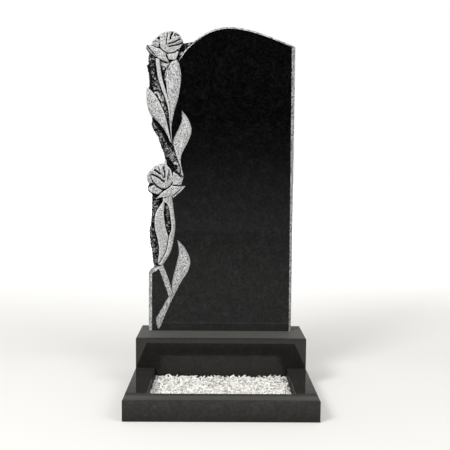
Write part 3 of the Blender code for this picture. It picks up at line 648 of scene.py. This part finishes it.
class Carving:
    """The carved front: its depth behind the polished face, and which finish lies where."""

    def __init__(self, step):
        self.outline = slab_outline(step)
        self.face = face_outline(step)
        self.rock = rock_outline(step)
        self.rings = [closed_outline(form.strokes, step / UNIT) * UNIT for form in FORMS]
        self.folds = [np.array(curve_through(fold.points, step / UNIT)) * UNIT for fold in FOLDS]
        self.cuts = [np.array(curve_through(cut.points, step / UNIT)) * UNIT for cut in CUTS]

    def finish_at(self, points):
        """Which finish each point has."""
        kind = np.where(inside_distance(points, self.face) < 0.0, MARGIN, POLISHED)
        kind = np.where(inside_part(points, self.rock) > 0.0, ROCK, kind)
        for ring in self.rings:
            kind = np.where(inside_part(points, ring) > 0.0, HAMMERED, kind)
        return kind

    def depth_at(self, points):
        """How far each point lies behind the polished face."""
        rim = np.maximum(inside_distance(points, self.outline), 0.0)
        depth = MARGIN_SLOPE * np.maximum(-inside_distance(points, self.face), 0.0)
        in_rock = inside_part(points, self.rock)
        scoop = sum(deep * (scooped(points + SCOOP_START * cell, cell) - 0.5) for cell, deep in ROCK_SCOOPS)
        fall = RIM_FALL * (1.0 - smooth_share(rim / RIM_RUN))
        share = smooth_share(in_rock / WALL_RUN)
        depth = depth + share * (ROCK_DEPTH + scoop + fall - depth)
        for form, ring in zip(FORMS, self.rings):
            inside = inside_part(points, ring)
            share = smooth_share(inside / form.wall)
            if form.dome:
                centre = np.array(form.dome[:2]) * UNIT
                radius = form.dome[2] * UNIT
                height = 1.0 - ((points - centre) ** 2).sum(axis=1) / radius ** 2
            else:
                height = 1.0 - (1.0 - np.clip(inside / form.reach, 0.0, 1.0)) ** 2
            surface = form.edge - form.rise * height
            surface = surface + FORM_FALL * (1.0 - smooth_share(rim / FORM_RUN))
            depth = depth + share * (surface - depth)
        for fold, line in zip(FOLDS, self.folds):
            away, side = line_part(points, line, fold.reach)
            beyond = (side == fold.side) & (away < fold.reach)
            dip = smooth_share(away / (0.5 * WALL_RUN)) * fold.dip * (1.0 - away / fold.reach)
            depth = depth + np.where(beyond, dip, 0.0)
        for cut, share in self.cut_shares(points, CUT_SPREAD):
            depth = depth + cut.depth * share
        return depth

    def cut_shares(self, points, spread):
        """Each cut with how far each point lies in it: 1 on its floor, 0 beyond its edges."""
        for cut, line in zip(CUTS, self.cuts):
            half = spread * cut.width * UNIT
            away, _ = line_part(points, line, half)
            yield cut, 1.0 - smooth_share((away / half - CUT_FLOOR) / (1.0 - CUT_FLOOR))

    def cut_shade_at(self, points):
        """How much painted shade each point takes in a cut: 1 at the bottom of a deep one."""
        dark = np.zeros(len(points))
        for cut, share in self.cut_shares(points, DARK_SPREAD):
            dark = np.maximum(dark, min(1.0, cut.depth / CUT_BLACK) * share)
        return dark


def paleness(points):
    """How pale the broken ground is at each point, below zero where it is black."""
    pale = np.zeros(len(points))
    black = np.zeros(len(points))
    for tone in TONES:
        radius = tone.radius * UNIT
        line = np.array(curve_through(tone.points, tone.radius)) * UNIT
        away, _ = line_part(points, line, (1.0 + TONE_CORE) * radius)
        share = abs(tone.amount) * (1.0 - smooth_share(away / radius - TONE_CORE))
        if tone.amount > 0.0:
            pale = np.maximum(pale, share)
        else:
            black = np.maximum(black, share)
    return pale - black


def offset_ring(ring, distance):
    """Points moved inwards from a ring, with a flag for those that stay that far inside it."""
    along = np.roll(ring, -1, axis=0) - np.roll(ring, 1, axis=0)
    along /= np.maximum(np.linalg.norm(along, axis=1), 1e-9)[:, None]
    normal = np.stack((-along[:, 1], along[:, 0]), axis=1)
    area = (ring[:, 0] * np.roll(ring[:, 1], -1) - np.roll(ring[:, 0], -1) * ring[:, 1]).sum()
    moved = ring + normal * distance * (1.0 if area > 0.0 else -1.0)
    kept = inside_distance(moved, ring) > KEPT_SHARE * distance
    return moved, kept


def offset_line(line, distance):
    """An open line moved to its left by a distance."""
    along = np.gradient(line, axis=0)
    along /= np.linalg.norm(along, axis=1)[:, None]
    return line + np.stack((-along[:, 1], along[:, 0]), axis=1) * distance


class Net:
    """Points and the edges that the triangles have to follow."""

    def __init__(self, outline):
        self.outline = outline
        self.points = []
        self.edges = []
        self.places = {}

    def number(self, point):
        """The number of a point, shared with one that is already within the snapping distance."""
        cell = (math.floor(point[0] / SNAP), math.floor(point[1] / SNAP))
        for across in (-1, 0, 1):
            for up in (-1, 0, 1):
                for other in self.places.get((cell[0] + across, cell[1] + up), ()):
                    if math.dist(self.points[other], point) < SNAP:
                        return other
        self.points.append(tuple(point))
        self.places.setdefault(cell, []).append(len(self.points) - 1)
        return len(self.points) - 1

    def add_line(self, line, kept=None, closed=False):
        """Add a line. Stretches wholly outside the slab, or not kept, are left out."""
        line = np.asarray(line)
        inside = inside_distance(line, self.outline) > 0.0
        kept = np.ones(len(line), bool) if kept is None else kept
        count = len(line)
        for start in range(count if closed else count - 1):
            end = (start + 1) % count
            if kept[start] and kept[end] and (inside[start] or inside[end]):
                first, second = self.number(line[start]), self.number(line[end])
                if first != second:
                    self.edges.append((first, second))

    def add_ring(self, ring):
        """Add the slab's own outline whole."""
        numbers = [self.number(point) for point in ring]
        self.edges += [pair for pair in zip(numbers, numbers[1:] + numbers[:1]) if pair[0] != pair[1]]

    def add_fill(self, points, spacing):
        """Add loose points that keep clear of the ones already there."""
        tree = KDTree(len(self.points))
        for index, point in enumerate(self.points):
            tree.insert((point[0], point[1], 0.0), index)
        tree.balance()
        for point in points:
            if tree.find((point[0], point[1], 0.0))[2] > spacing:
                self.points.append(tuple(point))


def jittered_grid(low, high, spacing, generator):
    """Loose points about a spacing apart, in staggered rows."""
    rows = []
    for row, z in enumerate(np.arange(low[1], high[1], spacing * ROW_SHARE)):
        across = np.arange(low[0] + (row % 2) * spacing / 2, high[0], spacing)
        rows.append(np.stack((across, np.full(len(across), z)), axis=1))
    points = np.concatenate(rows)
    return points + generator.uniform(-FILL_JITTER, FILL_JITTER, points.shape) * spacing


def triangulate(points, edges, outline):
    """Triangles along the edges that lie inside an outline, and their points."""
    result = delaunay_2d_cdt(points, edges, [], 0, MERGE, False)
    points = np.array([tuple(point) for point in result[0]])
    faces = np.array([tuple(face) for face in result[2]])
    centres = points[faces].mean(axis=1)
    keep = inside_distance(centres, outline) > 0.0
    faces = faces[keep]
    corners = points[faces]
    first = corners[:, 1] - corners[:, 0]
    second = corners[:, 2] - corners[:, 0]
    turn = first[:, 0] * second[:, 1] - first[:, 1] * second[:, 0]
    faces[turn < 0.0] = faces[turn < 0.0][:, ::-1]
    return points, faces


def border_loop(faces):
    """The vertices round the triangulation's border, in order."""
    sides = set()
    for face in faces.tolist():
        sides.update(zip(face, face[1:] + face[:1]))
    following = {start: end for (start, end) in sides if (end, start) not in sides}
    first = next(iter(following))
    loop = [first]
    while following[loop[-1]] != first:
        loop.append(following[loop[-1]])
    return loop


def slab_net(carving):
    """The net of the carved front: outlines, the feet of their walls, folds and loose points."""
    net = Net(carving.outline)
    net.add_ring(carving.outline)
    net.add_line(carving.face, closed=True)
    net.add_line(carving.rock, closed=True)
    for form, ring in zip(FORMS, carving.rings):
        net.add_line(ring, closed=True)
        moved, kept = offset_ring(ring, form.wall)
        net.add_line(moved, kept=kept, closed=True)
    for fold, line in zip(FOLDS, carving.folds):
        net.add_line(line)
        net.add_line(offset_line(line, fold.side * 0.5 * WALL_RUN))
    for cut, line in zip(CUTS, carving.cuts):
        net.add_line(line)
        for share in (-1.0, -CUT_FLOOR, CUT_FLOOR, 1.0):
            net.add_line(offset_line(line, 0.5 * share * cut.width * UNIT))
    generator = np.random.default_rng(SEED)
    low = carving.rock.min(axis=0)
    low[1] = 0.0
    high = (FILL_REACH * SLAB_HEIGHT, FILL_TOP * SLAB_HEIGHT)
    loose = jittered_grid(low, high, FILL_STEP, generator)
    loose = loose[inside_distance(loose, carving.outline) > FILL_RIM * FILL_STEP]
    carved = inside_part(loose, carving.rock) > 0.0
    for ring in carving.rings:
        carved |= inside_part(loose, ring) > 0.0
    net.add_fill(loose[carved], FILL_CLEAR * FILL_STEP)
    return net


def sides_of(faces):
    """Every side of every triangle, as pairs of vertices."""
    return np.concatenate((faces[:, (0, 1)], faces[:, (1, 2)], faces[:, (2, 0)]))


def hollowness(faces, depth, rounds):
    """How far each vertex lies below its surroundings: the blurred surface less the surface."""
    sides = sides_of(faces)
    count = np.bincount(sides.ravel(), minlength=len(depth)).astype(float)
    blurred = depth.copy()
    for _ in range(rounds):
        total = np.bincount(sides[:, 0], weights=blurred[sides[:, 1]], minlength=len(depth))
        total += np.bincount(sides[:, 1], weights=blurred[sides[:, 0]], minlength=len(depth))
        blurred = total / np.maximum(count, 1.0)
    return depth - blurred


def beside_polish(faces, finish, rings):
    """Which vertices lie on the polished face or within a few edges of it."""
    sides = sides_of(faces)
    near = np.zeros(faces.max() + 1, bool)
    near[faces[finish == POLISHED]] = True
    for _ in range(rings):
        grown = near.copy()
        grown[sides[near[sides[:, 0]], 1]] = True
        grown[sides[near[sides[:, 1]], 0]] = True
        near = grown
    return near


def make_slab(shaders):
    """The slab: the carved front, the sides along its outline and a flat back."""
    carving = Carving(OUTLINE_STEP)
    net = slab_net(carving)
    points, faces = triangulate(net.points, net.edges, carving.outline)
    depth = carving.depth_at(points)
    finish = carving.finish_at(points[faces].mean(axis=1))
    rim = inside_distance(points, carving.outline)
    # Painted shading kept at the vertices: painted shade in hollows, painted highlight on ridges, none beside
    # the polish
    painted_shading = hollowness(faces, depth, BLUR_ROUNDS) * smooth_share((rim - 0.5 * RIM_RUN) / RIM_RUN)
    painted_shading[beside_polish(faces, finish, POLISH_RINGS)] = 0.0
    pale = paleness(points)
    painted_shading = np.where(painted_shading > 0.0, np.maximum(0.0, painted_shading - PALE_LIFT * pale), painted_shading)
    bare = carving.finish_at(points) == ROCK
    # Painted shade along the rim of the broken rock
    painted_shading += PAINTED_RIM_SHADE * bare * (1.0 - smooth_share(rim / RIM_BAND))
    # Painted shade in the bottom of the cuts
    painted_shading += PAINTED_CUT_SHADE * carving.cut_shade_at(points)
    loop = border_loop(faces)
    count = len(loop)
    front = np.stack((SLAB_LEFT + points[:, 0], SLAB_FRONT + depth, SLAB_FOOT + points[:, 1]), axis=1)
    back = front[loop]
    back[:, 1] = SLAB_BACK
    border = [(index, (index + 1) % count) for index in range(count)]
    _, back_faces = triangulate(points[loop].tolist(), border, points[loop])
    first = len(front)
    all_faces = [tuple(face) for face in faces.tolist()]
    kinds = list(finish)
    for index, after in border:
        all_faces.append((loop[after], loop[index], first + index, first + after))
        across, height = points[loop[index]]
        broken = across < CARVED_SHARE * SLAB_WIDTH and in_rock_span(height / UNIT)
        kinds.append(ROCK if broken else MARGIN)
    for face in back_faces.tolist():
        all_faces.append(tuple(first + index for index in face[::-1]))
        kinds.append(SAWN)
    mesh = bpy.data.meshes.new("carved_slab")
    mesh.from_pydata(np.concatenate((front, back)).tolist(), [], all_faces)
    mesh.polygons.foreach_set("material_index", np.array(kinds, dtype=np.int32))
    for name, values in (("painted_shading", painted_shading), ("pale", pale)):
        layer = mesh.attributes.new(name, "FLOAT", "POINT")
        layer.data.foreach_set("value", np.concatenate((values, np.zeros(count))).astype(np.float32))
    slab = bpy.data.objects.new("carved_slab", mesh)
    bpy.context.scene.collection.objects.link(slab)
    for shader in shaders:
        mesh.materials.append(shader.material)
    mesh.shade_smooth()
    mesh.set_sharp_from_angle(angle=math.radians(SHARP_ANGLE))
    clean = bmesh.new()
    clean.from_mesh(mesh)
    bmesh.ops.delete(clean, geom=[vert for vert in clean.verts if not vert.link_faces], context="VERTS")
    for edge in clean.edges:
        if len({face.material_index for face in edge.link_faces}) > 1:
            edge.smooth = False
    clean.to_mesh(mesh)
    clean.free()
    return slab


class Nodes:
    """The nodes of a material or of the world, built step by step."""

    def __init__(self, owner):
        owner.use_nodes = True
        self.nodes = owner.node_tree.nodes
        self.links = owner.node_tree.links

    def node(self, kind, vector=None, **values):
        """A new node with plain values on its sockets, and with a vector linked to it if there is one."""
        node = self.nodes.new("ShaderNode" + kind)
        for name, value in values.items():
            node.inputs[name.replace("_", " ")].default_value = value
        if vector is not None:
            self.links.new(vector, node.inputs["Vector"])
        return node

    def part_of(self, vector, axis):
        """One number of a vector or a colour."""
        return self.node("SeparateXYZ", vector).outputs[axis]

    def ramp(self, value, *stops):
        """Colours or greys along a value: each stop is a place and a grey or a colour."""
        node = self.node("ValToRGB")
        elements = node.color_ramp.elements
        while len(elements) < len(stops):
            elements.new(0.5)
        for element, (place, color) in zip(elements, stops):
            element.position = place
            element.color = (*color, 1.0) if isinstance(color, tuple) else (color, color, color, 1.0)
        self.links.new(value, node.inputs["Fac"])
        return node.outputs["Color"]

    def shade_ramp(self, value, stops, shade):
        """Greys along a value, given as shares of a shade."""
        return self.ramp(value, *((place, share * shade) for place, share in stops))

    def mapped(self, value, low, high, to_low=0.0, to_high=1.0):
        """A value's run from low to high laid on another run, and held at its ends."""
        node = self.node("MapRange", From_Min=low, From_Max=high, To_Min=to_low, To_Max=to_high)
        self.links.new(value, node.inputs["Value"])
        return node.outputs["Result"]

    def feed(self, value, socket):
        """Put a number, a grey or a colour on a socket, or link to it."""
        if isinstance(value, bpy.types.NodeSocket):
            self.links.new(value, socket)
        elif socket.type != "RGBA":
            socket.default_value = value
        else:
            socket.default_value = (*value, 1.0) if isinstance(value, tuple) else (value, value, value, 1.0)

    def mix(self, first, second, factor, blend="MIX"):
        """Two colours mixed by a factor, or blended another way."""
        node = self.node("Mix")
        node.data_type = "RGBA"
        node.blend_type = blend
        for value, index in ((factor, 0), (first, 6), (second, 7)):
            self.feed(value, node.inputs[index])
        return node.outputs[2]

    def combine(self, operation, first, second):
        """Two numbers combined."""
        node = self.node("Math")
        node.operation = operation
        self.feed(first, node.inputs[0])
        self.feed(second, node.inputs[1])
        return node.outputs["Value"]


class Shader(Nodes):
    """A material round one Principled shader, in metres of its object."""

    def __init__(self, name):
        self.material = bpy.data.materials.new(name)
        super().__init__(self.material)
        self.principled = self.nodes["Principled BSDF"]
        source = self.node("TexCoord")
        self.place = source.outputs["Object"]
        self.normal = source.outputs["Normal"]

    def set(self, **values):
        """Plain values on the shader's own sockets."""
        for name, value in values.items():
            self.principled.inputs[name.replace("_", " ")].default_value = value

    def noise(self, scale, detail=2.0, roughness=0.5, stretch=None):
        """A noise of features scale metres wide, stretched along an axis if asked."""
        place = self.node("Mapping", self.place, Scale=stretch).outputs["Vector"] if stretch else self.place
        node = self.node("TexNoise", place, Scale=1.0 / scale, Detail=detail, Roughness=roughness)
        return node.outputs["Fac"]

    def cells(self, scale, output="Distance"):
        """Cells about scale metres wide."""
        return self.node("TexVoronoi", self.place, Scale=1.0 / scale).outputs[output]

    def facing(self, axis):
        """How far the surface faces along an axis of the object."""
        return self.part_of(self.normal, axis)

    def attribute(self, name, output="Fac"):
        """A value that the mesh keeps at its vertices."""
        node = self.node("Attribute")
        node.attribute_name = name
        return node.outputs[output]

    def color(self, value):
        """The stone's own colour."""
        self.links.new(value, self.principled.inputs["Base Color"])

    def roughness(self, value):
        """How rough the surface is, from 0 for a mirror."""
        self.links.new(value, self.principled.inputs["Roughness"])

    def bump(self, height, strength, distance):
        """A fine relief, with its height in metres."""
        node = self.node("Bump", Strength=strength, Distance=distance)
        self.links.new(height, node.inputs["Height"])
        self.links.new(node.outputs["Normal"], self.principled.inputs["Normal"])


def polished_granite(name, shade, ior, calm=0.0):
    """Black granite polished to a mirror: fine crystals and clouds just show."""
    shader = Shader(name)
    grain = shader.noise(CRYSTAL, detail=4.0, roughness=0.75)
    base = shader.shade_ramp(grain, CRYSTAL_SHADES, shade)
    cloud = shader.mapped(shader.noise(CLOUD), *CLOUD_SPAN)
    base = shader.mix(base, cloud, 1.0, "MULTIPLY")
    base = shader.mix(base, tuple(share * shade for share in WARM), calm)
    fleck = shader.shade_ramp(shader.cells(FLECK), FLECK_SHADES, shade)
    rare = shader.mapped(shader.noise(FLECK_PATCH), *FLECK_SPAN)
    base = shader.mix(base, fleck, rare, "ADD")
    shader.color(base)
    shader.roughness(shader.mapped(shader.noise(SMEAR), *GLOSS_SPAN))
    shader.set(IOR=ior)
    return shader


def polished_base(name, shade, ior):
    """The polish of plinth and bar: painted shade towards the ground, a painted reflection on top, left off
    along the eased edges so that they show dark.
    """
    shader = polished_granite(name, shade, ior, CALM)
    base = shader.principled.inputs["Base Color"].links[0].from_socket
    gloss = shader.principled.inputs["Roughness"].links[0].from_socket
    height = shader.part_of(shader.place, "Z")
    # Painted shade: the polish darkens towards the ground
    base = shader.mix(base, shader.mapped(height, 0.0, BAR_HIGH[2], *PAINTED_GROUND_SHADE), 1.0, "MULTIPLY")
    upward = shader.mapped(shader.facing("Z"), *UPWARD)
    # Painted reflection of the bright sky on upward faces, a little dimmer on the bar than on the plinth
    cloud = shader.ramp(shader.noise(REFLECTION_CLOUD, detail=3.0), *TOP_CLOUD)
    painted_reflection = shader.mix(PAINTED_TOP_REFLECTION, cloud, 1.0, "MULTIPLY")
    painted_reflection = shader.mix(painted_reflection, shader.mapped(height, BAR_HIGH[2], PLINTH_HIGH[2], *REFLECTION_DIM), 1.0, "MULTIPLY")
    depth = shader.part_of(shader.place, "Y")
    # The painted reflection is left off in bands along the front and rear edges, which show as dark lines
    clean = upward
    for edge, band in ((BAR_LOW[1], FRONT_BAND), (BAR_HIGH[1], REAR_BAND), (PLINTH_LOW[1], FRONT_BAND)):
        beside = shader.combine("ABSOLUTE", shader.combine("SUBTRACT", depth, edge), 0.0)
        clean = shader.combine("MULTIPLY", clean, shader.mapped(beside, band, BAND_FADE * band))
    shader.color(shader.mix(base, painted_reflection, clean))
    shader.roughness(shader.combine("ADD", gloss, shader.combine("MULTIPLY", upward, MATT_TOP)))
    return shader


def polished_rail():
    """The rails' polish, with honed sides."""
    shader = polished_granite("polished_rail", shade=0.0240, ior=1.22, calm=CALM)
    gloss = shader.principled.inputs["Roughness"].links[0].from_socket
    sideways = shader.combine("ABSOLUTE", shader.facing("X"), 0.0)
    sideways = shader.mapped(sideways, *SIDEWAYS, 0.0, MATT_SIDE)
    shader.roughness(shader.combine("ADD", gloss, sideways))
    return shader


def polished_face():
    """The slab's polish. Its grain shows more and its colour lightens towards the foot, where a band of
    painted reflection lies.
    """
    shader = polished_granite("polished_face", shade=0.0034, ior=1.37)
    height = shader.part_of(shader.place, "Z")
    base = shader.principled.inputs["Base Color"].links[0].from_socket
    gain = shader.mapped(height, SLAB_FOOT, SLAB_FOOT + GRAIN_TOP * SLAB_HEIGHT, *GRAIN_GAIN)
    base = shader.mix(base, gain, 1.0, "MULTIPLY")
    # Painted reflection in a band at the slab's foot
    painted_reflection = shader.mapped(height, SLAB_FOOT + FOOT_REFLECTION_HEIGHT, SLAB_FOOT + FOOT_REFLECTION_FADE * FOOT_REFLECTION_HEIGHT)
    shader.color(shader.mix(base, shader.combine("MULTIPLY", painted_reflection, PAINTED_FOOT_REFLECTION), 1.0, "ADD"))
    return shader


def hammered_granite(name, shade, grain, right_share=1.0):
    """The same stone bruised light grey by the bush hammer, with dark pits; painted highlight where the
    relief stands out, painted shade in its hollows and deep cuts.
    """
    shader = Shader(name)
    pits = shader.noise(grain, detail=3.0, roughness=0.85)
    drift = shader.ramp(shader.noise(DRIFT), *DRIFT_SHADES)
    grey = shader.shade_ramp(pits, PIT_SHADES, shade)
    grey = shader.mix(grey, drift, 1.0, "MULTIPLY")
    across = shader.mapped(shader.part_of(shader.place, "X"), *RIGHT_RUN, 1.0, right_share)
    grey = shader.mix(grey, across, 1.0, "MULTIPLY")
    painted_shading = shader.attribute("painted_shading")
    # Painted highlight where the relief stands out, painted shade in hollows and cuts
    grey = shader.mix(grey, LIT_SHADE * shade, shader.mapped(painted_shading, *LIT_SPAN))
    shader.color(shader.mix(grey, PAINTED_SHADE_GREY, shader.mapped(painted_shading, *PAINTED_SHADE_SPAN)))
    shader.set(Roughness=0.85, IOR=1.25)
    shader.bump(pits, 0.8, 0.0014)
    return shader


def broken_granite():
    """Broken black granite: crystals from black to white, paler or blacker in patches, bruised ridges lighter
    still as a painted highlight, black hollows as painted shade.
    """
    shader = Shader("broken_granite")
    pale = shader.attribute("pale")
    painted_shading = shader.attribute("painted_shading")
    patch = shader.noise(ROCK_PATCH, detail=2.0, roughness=0.6)
    chip = shader.part_of(shader.cells(ROCK_CRYSTAL, output="Color"), "X")
    fine = shader.part_of(shader.cells(ROCK_GRAIN, output="Color"), "X")
    level = 0.0
    for part, share in zip((chip, fine, patch, pale), ROCK_SHARES):
        level = shader.combine("ADD", level, shader.combine("MULTIPLY", part, share))
    shade = shader.ramp(shader.mapped(level, *ROCK_SPAN), *ROCK_SHADES)
    # Bruised pale ground, lighter still on ridges as a painted highlight
    ridge = shader.mapped(painted_shading, *RIDGE_SPAN)
    bruise = shader.mapped(shader.combine("ADD", shader.noise(BRUISE), pale), *BRUISE_SPAN)
    shade = shader.mix(shade, RIDGE_BRUISE_AND_HIGHLIGHT, shader.combine("MULTIPLY", ridge, bruise))
    shade = shader.mix(shade, PALE_SHADE, shader.mapped(pale, *PALE_SPAN))
    # Painted shade: black in hollows, in cuts and along the broken rim
    shader.color(shader.mix(shade, ROCK_PAINTED_SHADE_GREY, shader.mapped(painted_shading, *ROCK_PAINTED_SHADE_SPAN)))
    shader.set(Roughness=0.6, IOR=1.15)
    shader.bump(level, 0.8, 0.0020)
    return shader


def sawn_granite():
    """The unseen back: sawn flat and left dull."""
    shader = Shader("sawn_granite")
    grain = shader.noise(SAWN_GRAIN, detail=3.0)
    saw = shader.noise(SAW_STEP, stretch=(0.05, 1.0, 1.0))
    base = shader.ramp(grain, *SAWN_SHADES)
    shader.color(shader.mix(base, shader.ramp(saw, *SAW_SHADES), 1.0, "MULTIPLY"))
    shader.set(Roughness=0.55, IOR=1.5)
    shader.bump(saw, 0.2, 0.0004)
    return shader


def marble():
    """White marble, crushed: each chip a little different."""
    shader = Shader("marble_chips")
    vein = shader.noise(VEIN, detail=4.0, roughness=0.6)
    white = shader.ramp(vein, *MARBLE_SHADES)
    tint = shader.attribute("tint", "Color")
    shader.color(shader.mix(white, tint, 1.0, "MULTIPLY"))
    shader.set(Roughness=0.45, IOR=1.5)
    shader.bump(shader.noise(MARBLE_GRAIN, detail=3.0), 0.3, 0.0005)
    return shader


def make_chips(shader):
    """Crushed marble in loose layers, kept inside the kerb."""
    generator = np.random.default_rng(SEED)
    low = np.array((BED_LOW[0] + CHIP_GAP, BED_LOW[1] + CHIP_GAP, CHIP_GAP))
    high = np.array((BED_HIGH[0] - CHIP_GAP, BED_HIGH[1] - CHIP_GAP, BED_HIGH[2] + CHIP_RISE))
    verts = []
    faces = []
    tints = []
    for spacing, drop in CHIP_LAYERS:
        for x in np.arange(low[0], high[0], spacing):
            for y in np.arange(low[1], high[1], spacing):
                size = CHIP_RADIUS * generator.uniform(*CHIP_SIZES)
                shape = size * generator.uniform(CHIP_LEAST, CHIP_MOST)
                shift = generator.uniform(-0.5, 0.5, 3) * spacing * CHIP_SHIFT
                middle = np.array((x, y, BED_HIGH[2] + drop)) + shift
                tilt = generator.uniform(-CHIP_TILT, CHIP_TILT, 2)
                turn = Euler((tilt[0], tilt[1], generator.uniform(0.0, CHIP_TURN))).to_matrix()
                corners = generator.normal(size=(CHIP_CORNERS, 3))
                corners /= np.linalg.norm(corners, axis=1)[:, None]
                stone = bmesh.new()
                for corner in corners * shape:
                    stone.verts.new(turn @ Vector(corner))
                bmesh.ops.convex_hull(stone, input=stone.verts)
                loose = [vert for vert in stone.verts if not vert.link_faces]
                bmesh.ops.delete(stone, geom=loose, context="VERTS")
                stone.verts.index_update()
                first = len(verts)
                tint = generator.uniform(*CHIP_TINTS)
                for vert in stone.verts:
                    verts.append(tuple(np.clip(np.array(vert.co) + middle, low, high)))
                    tints.append((*(tint * share for share in CHIP_WARMTH), 1.0))
                for face in stone.faces:
                    faces.append(tuple(first + vert.index for vert in face.verts))
                stone.free()
    mesh = bpy.data.meshes.new("marble_chips")
    mesh.from_pydata(verts, [], faces)
    colors = mesh.attributes.new("tint", "FLOAT_COLOR", "POINT")
    colors.data.foreach_set("color", np.array(tints, dtype=np.float32).ravel())
    mesh.materials.append(shader.material)
    chips = bpy.data.objects.new("marble_chips", mesh)
    bpy.context.scene.collection.objects.link(chips)
    return chips


def make_camera():
    """The photograph's view: its lens, place and tilt."""
    data = bpy.data.cameras.new("camera")
    data.sensor_width = SENSOR_WIDTH
    data.lens = FOCAL_PIXELS / IMAGE_SIZE * SENSOR_WIDTH
    data.dof.use_dof = False
    camera = bpy.data.objects.new("camera", data)
    bpy.context.scene.collection.objects.link(camera)
    place = (CAMERA_X, PLINTH_LOW[1] - CAMERA_BEFORE_PLINTH, CAMERA_HEIGHT)
    yaw = Matrix.Rotation(math.radians(CAMERA_YAW), 4, "Z")
    pitch = Matrix.Rotation(math.radians(90.0 - CAMERA_PITCH), 4, "X")
    roll = Matrix.Rotation(math.radians(CAMERA_ROLL), 4, "Z")
    camera.matrix_world = Matrix.Translation(place) @ yaw @ pitch @ roll
    bpy.context.scene.camera = camera


def make_floor():
    """A white studio floor without an end in view, dimmer in front, where only the slab mirrors it."""
    mesh = bpy.data.meshes.new("studio_floor")
    across = (-FLOOR_REACH, FLOOR_REACH, FLOOR_REACH, -FLOOR_REACH)
    depths = (FLOOR_FRONT, FLOOR_FRONT, FLOOR_REACH, FLOOR_REACH)
    mesh.from_pydata([(x, y, -FLOOR_DROP) for x, y in zip(across, depths)], [], [(0, 1, 2, 3)])
    floor = bpy.data.objects.new("studio_floor", mesh)
    bpy.context.scene.collection.objects.link(floor)
    shader = Shader("studio_floor")
    depth = shader.part_of(shader.place, "Y")
    shader.color(shader.mix(0.0, FLOOR_TINT, shader.mapped(depth, *FLOOR_DIM)))
    glow = shader.mix(FLOOR_GLOW, 1.0, shader.mapped(depth, *FLOOR_GLOW_RUN))
    shader.links.new(glow, shader.principled.inputs["Emission Color"])
    shader.set(Roughness=0.9, Emission_Strength=1.0)
    mesh.materials.append(shader.material)


def area_light(name, place, size, power):
    """A square soft light that shines at the slab."""
    data = bpy.data.lights.new(name, "AREA")
    data.shape = "SQUARE"
    data.size = size
    data.energy = power
    light = bpy.data.objects.new(name, data)
    bpy.context.scene.collection.objects.link(light)
    light.location = place
    light.rotation_euler = (Vector(LIGHT_AIM) - Vector(place)).to_track_quat("-Z", "Y").to_euler()


def make_lights():
    """White behind the stone; in front dark above the horizon, so that the polished face stays black."""
    world = bpy.data.worlds.new("studio")
    bpy.context.scene.world = world
    sky = Nodes(world)
    direction = sky.node("TexCoord").outputs["Generated"]
    rise = sky.mapped(sky.part_of(direction, "Z"), GLOW_LOW, GLOW_LOW + 1.0)
    rear = sky.mapped(sky.part_of(direction, "Y"), *GLOW_TURN)
    # In front a glow below the horizon and a soft light overhead; behind white up to the picture's top
    glows = []
    for stops in (FRONT_GLOW, REAR_GLOW):
        glows.append(sky.ramp(rise, *((place - GLOW_LOW, glow) for place, glow in stops)))
    background = sky.nodes["Background"]
    sky.links.new(sky.mix(*glows, rear), background.inputs["Color"])
    background.inputs["Strength"].default_value = WORLD_STRENGTH
    for light in LIGHTS:
        area_light(*light)


bpy.context.scene.view_settings.view_transform = "Standard"
make_camera()
make_floor()
make_lights()

PLINTH_POLISH = polished_base("polished_plinth", shade=0.0140, ior=1.42)
BAR_POLISH = polished_base("polished_bar", shade=0.0280, ior=1.27)
RAIL_POLISH = polished_rail()
CARVING_FINISH = hammered_granite("hammered_carving", shade=0.89, grain=0.0043)
MARGIN_FINISH = hammered_granite("pitched_margin", shade=0.76, grain=0.0062, right_share=0.80)
slab = make_slab((polished_face(), CARVING_FINISH, broken_granite(), sawn_granite(), MARGIN_FINISH))
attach(slab, "root")
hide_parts("stele")

chips = make_chips(marble())
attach(chips, "root")
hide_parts("gravel_bed")

FINISHES = {
    "plinth": PLINTH_POLISH,
    "kerb_front": BAR_POLISH,
    "kerb_left": RAIL_POLISH,
    "kerb_right": RAIL_POLISH,
}
for name, finish in FINISHES.items():
    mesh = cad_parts[name].data
    mesh.materials.clear()
    mesh.materials.append(finish.material)
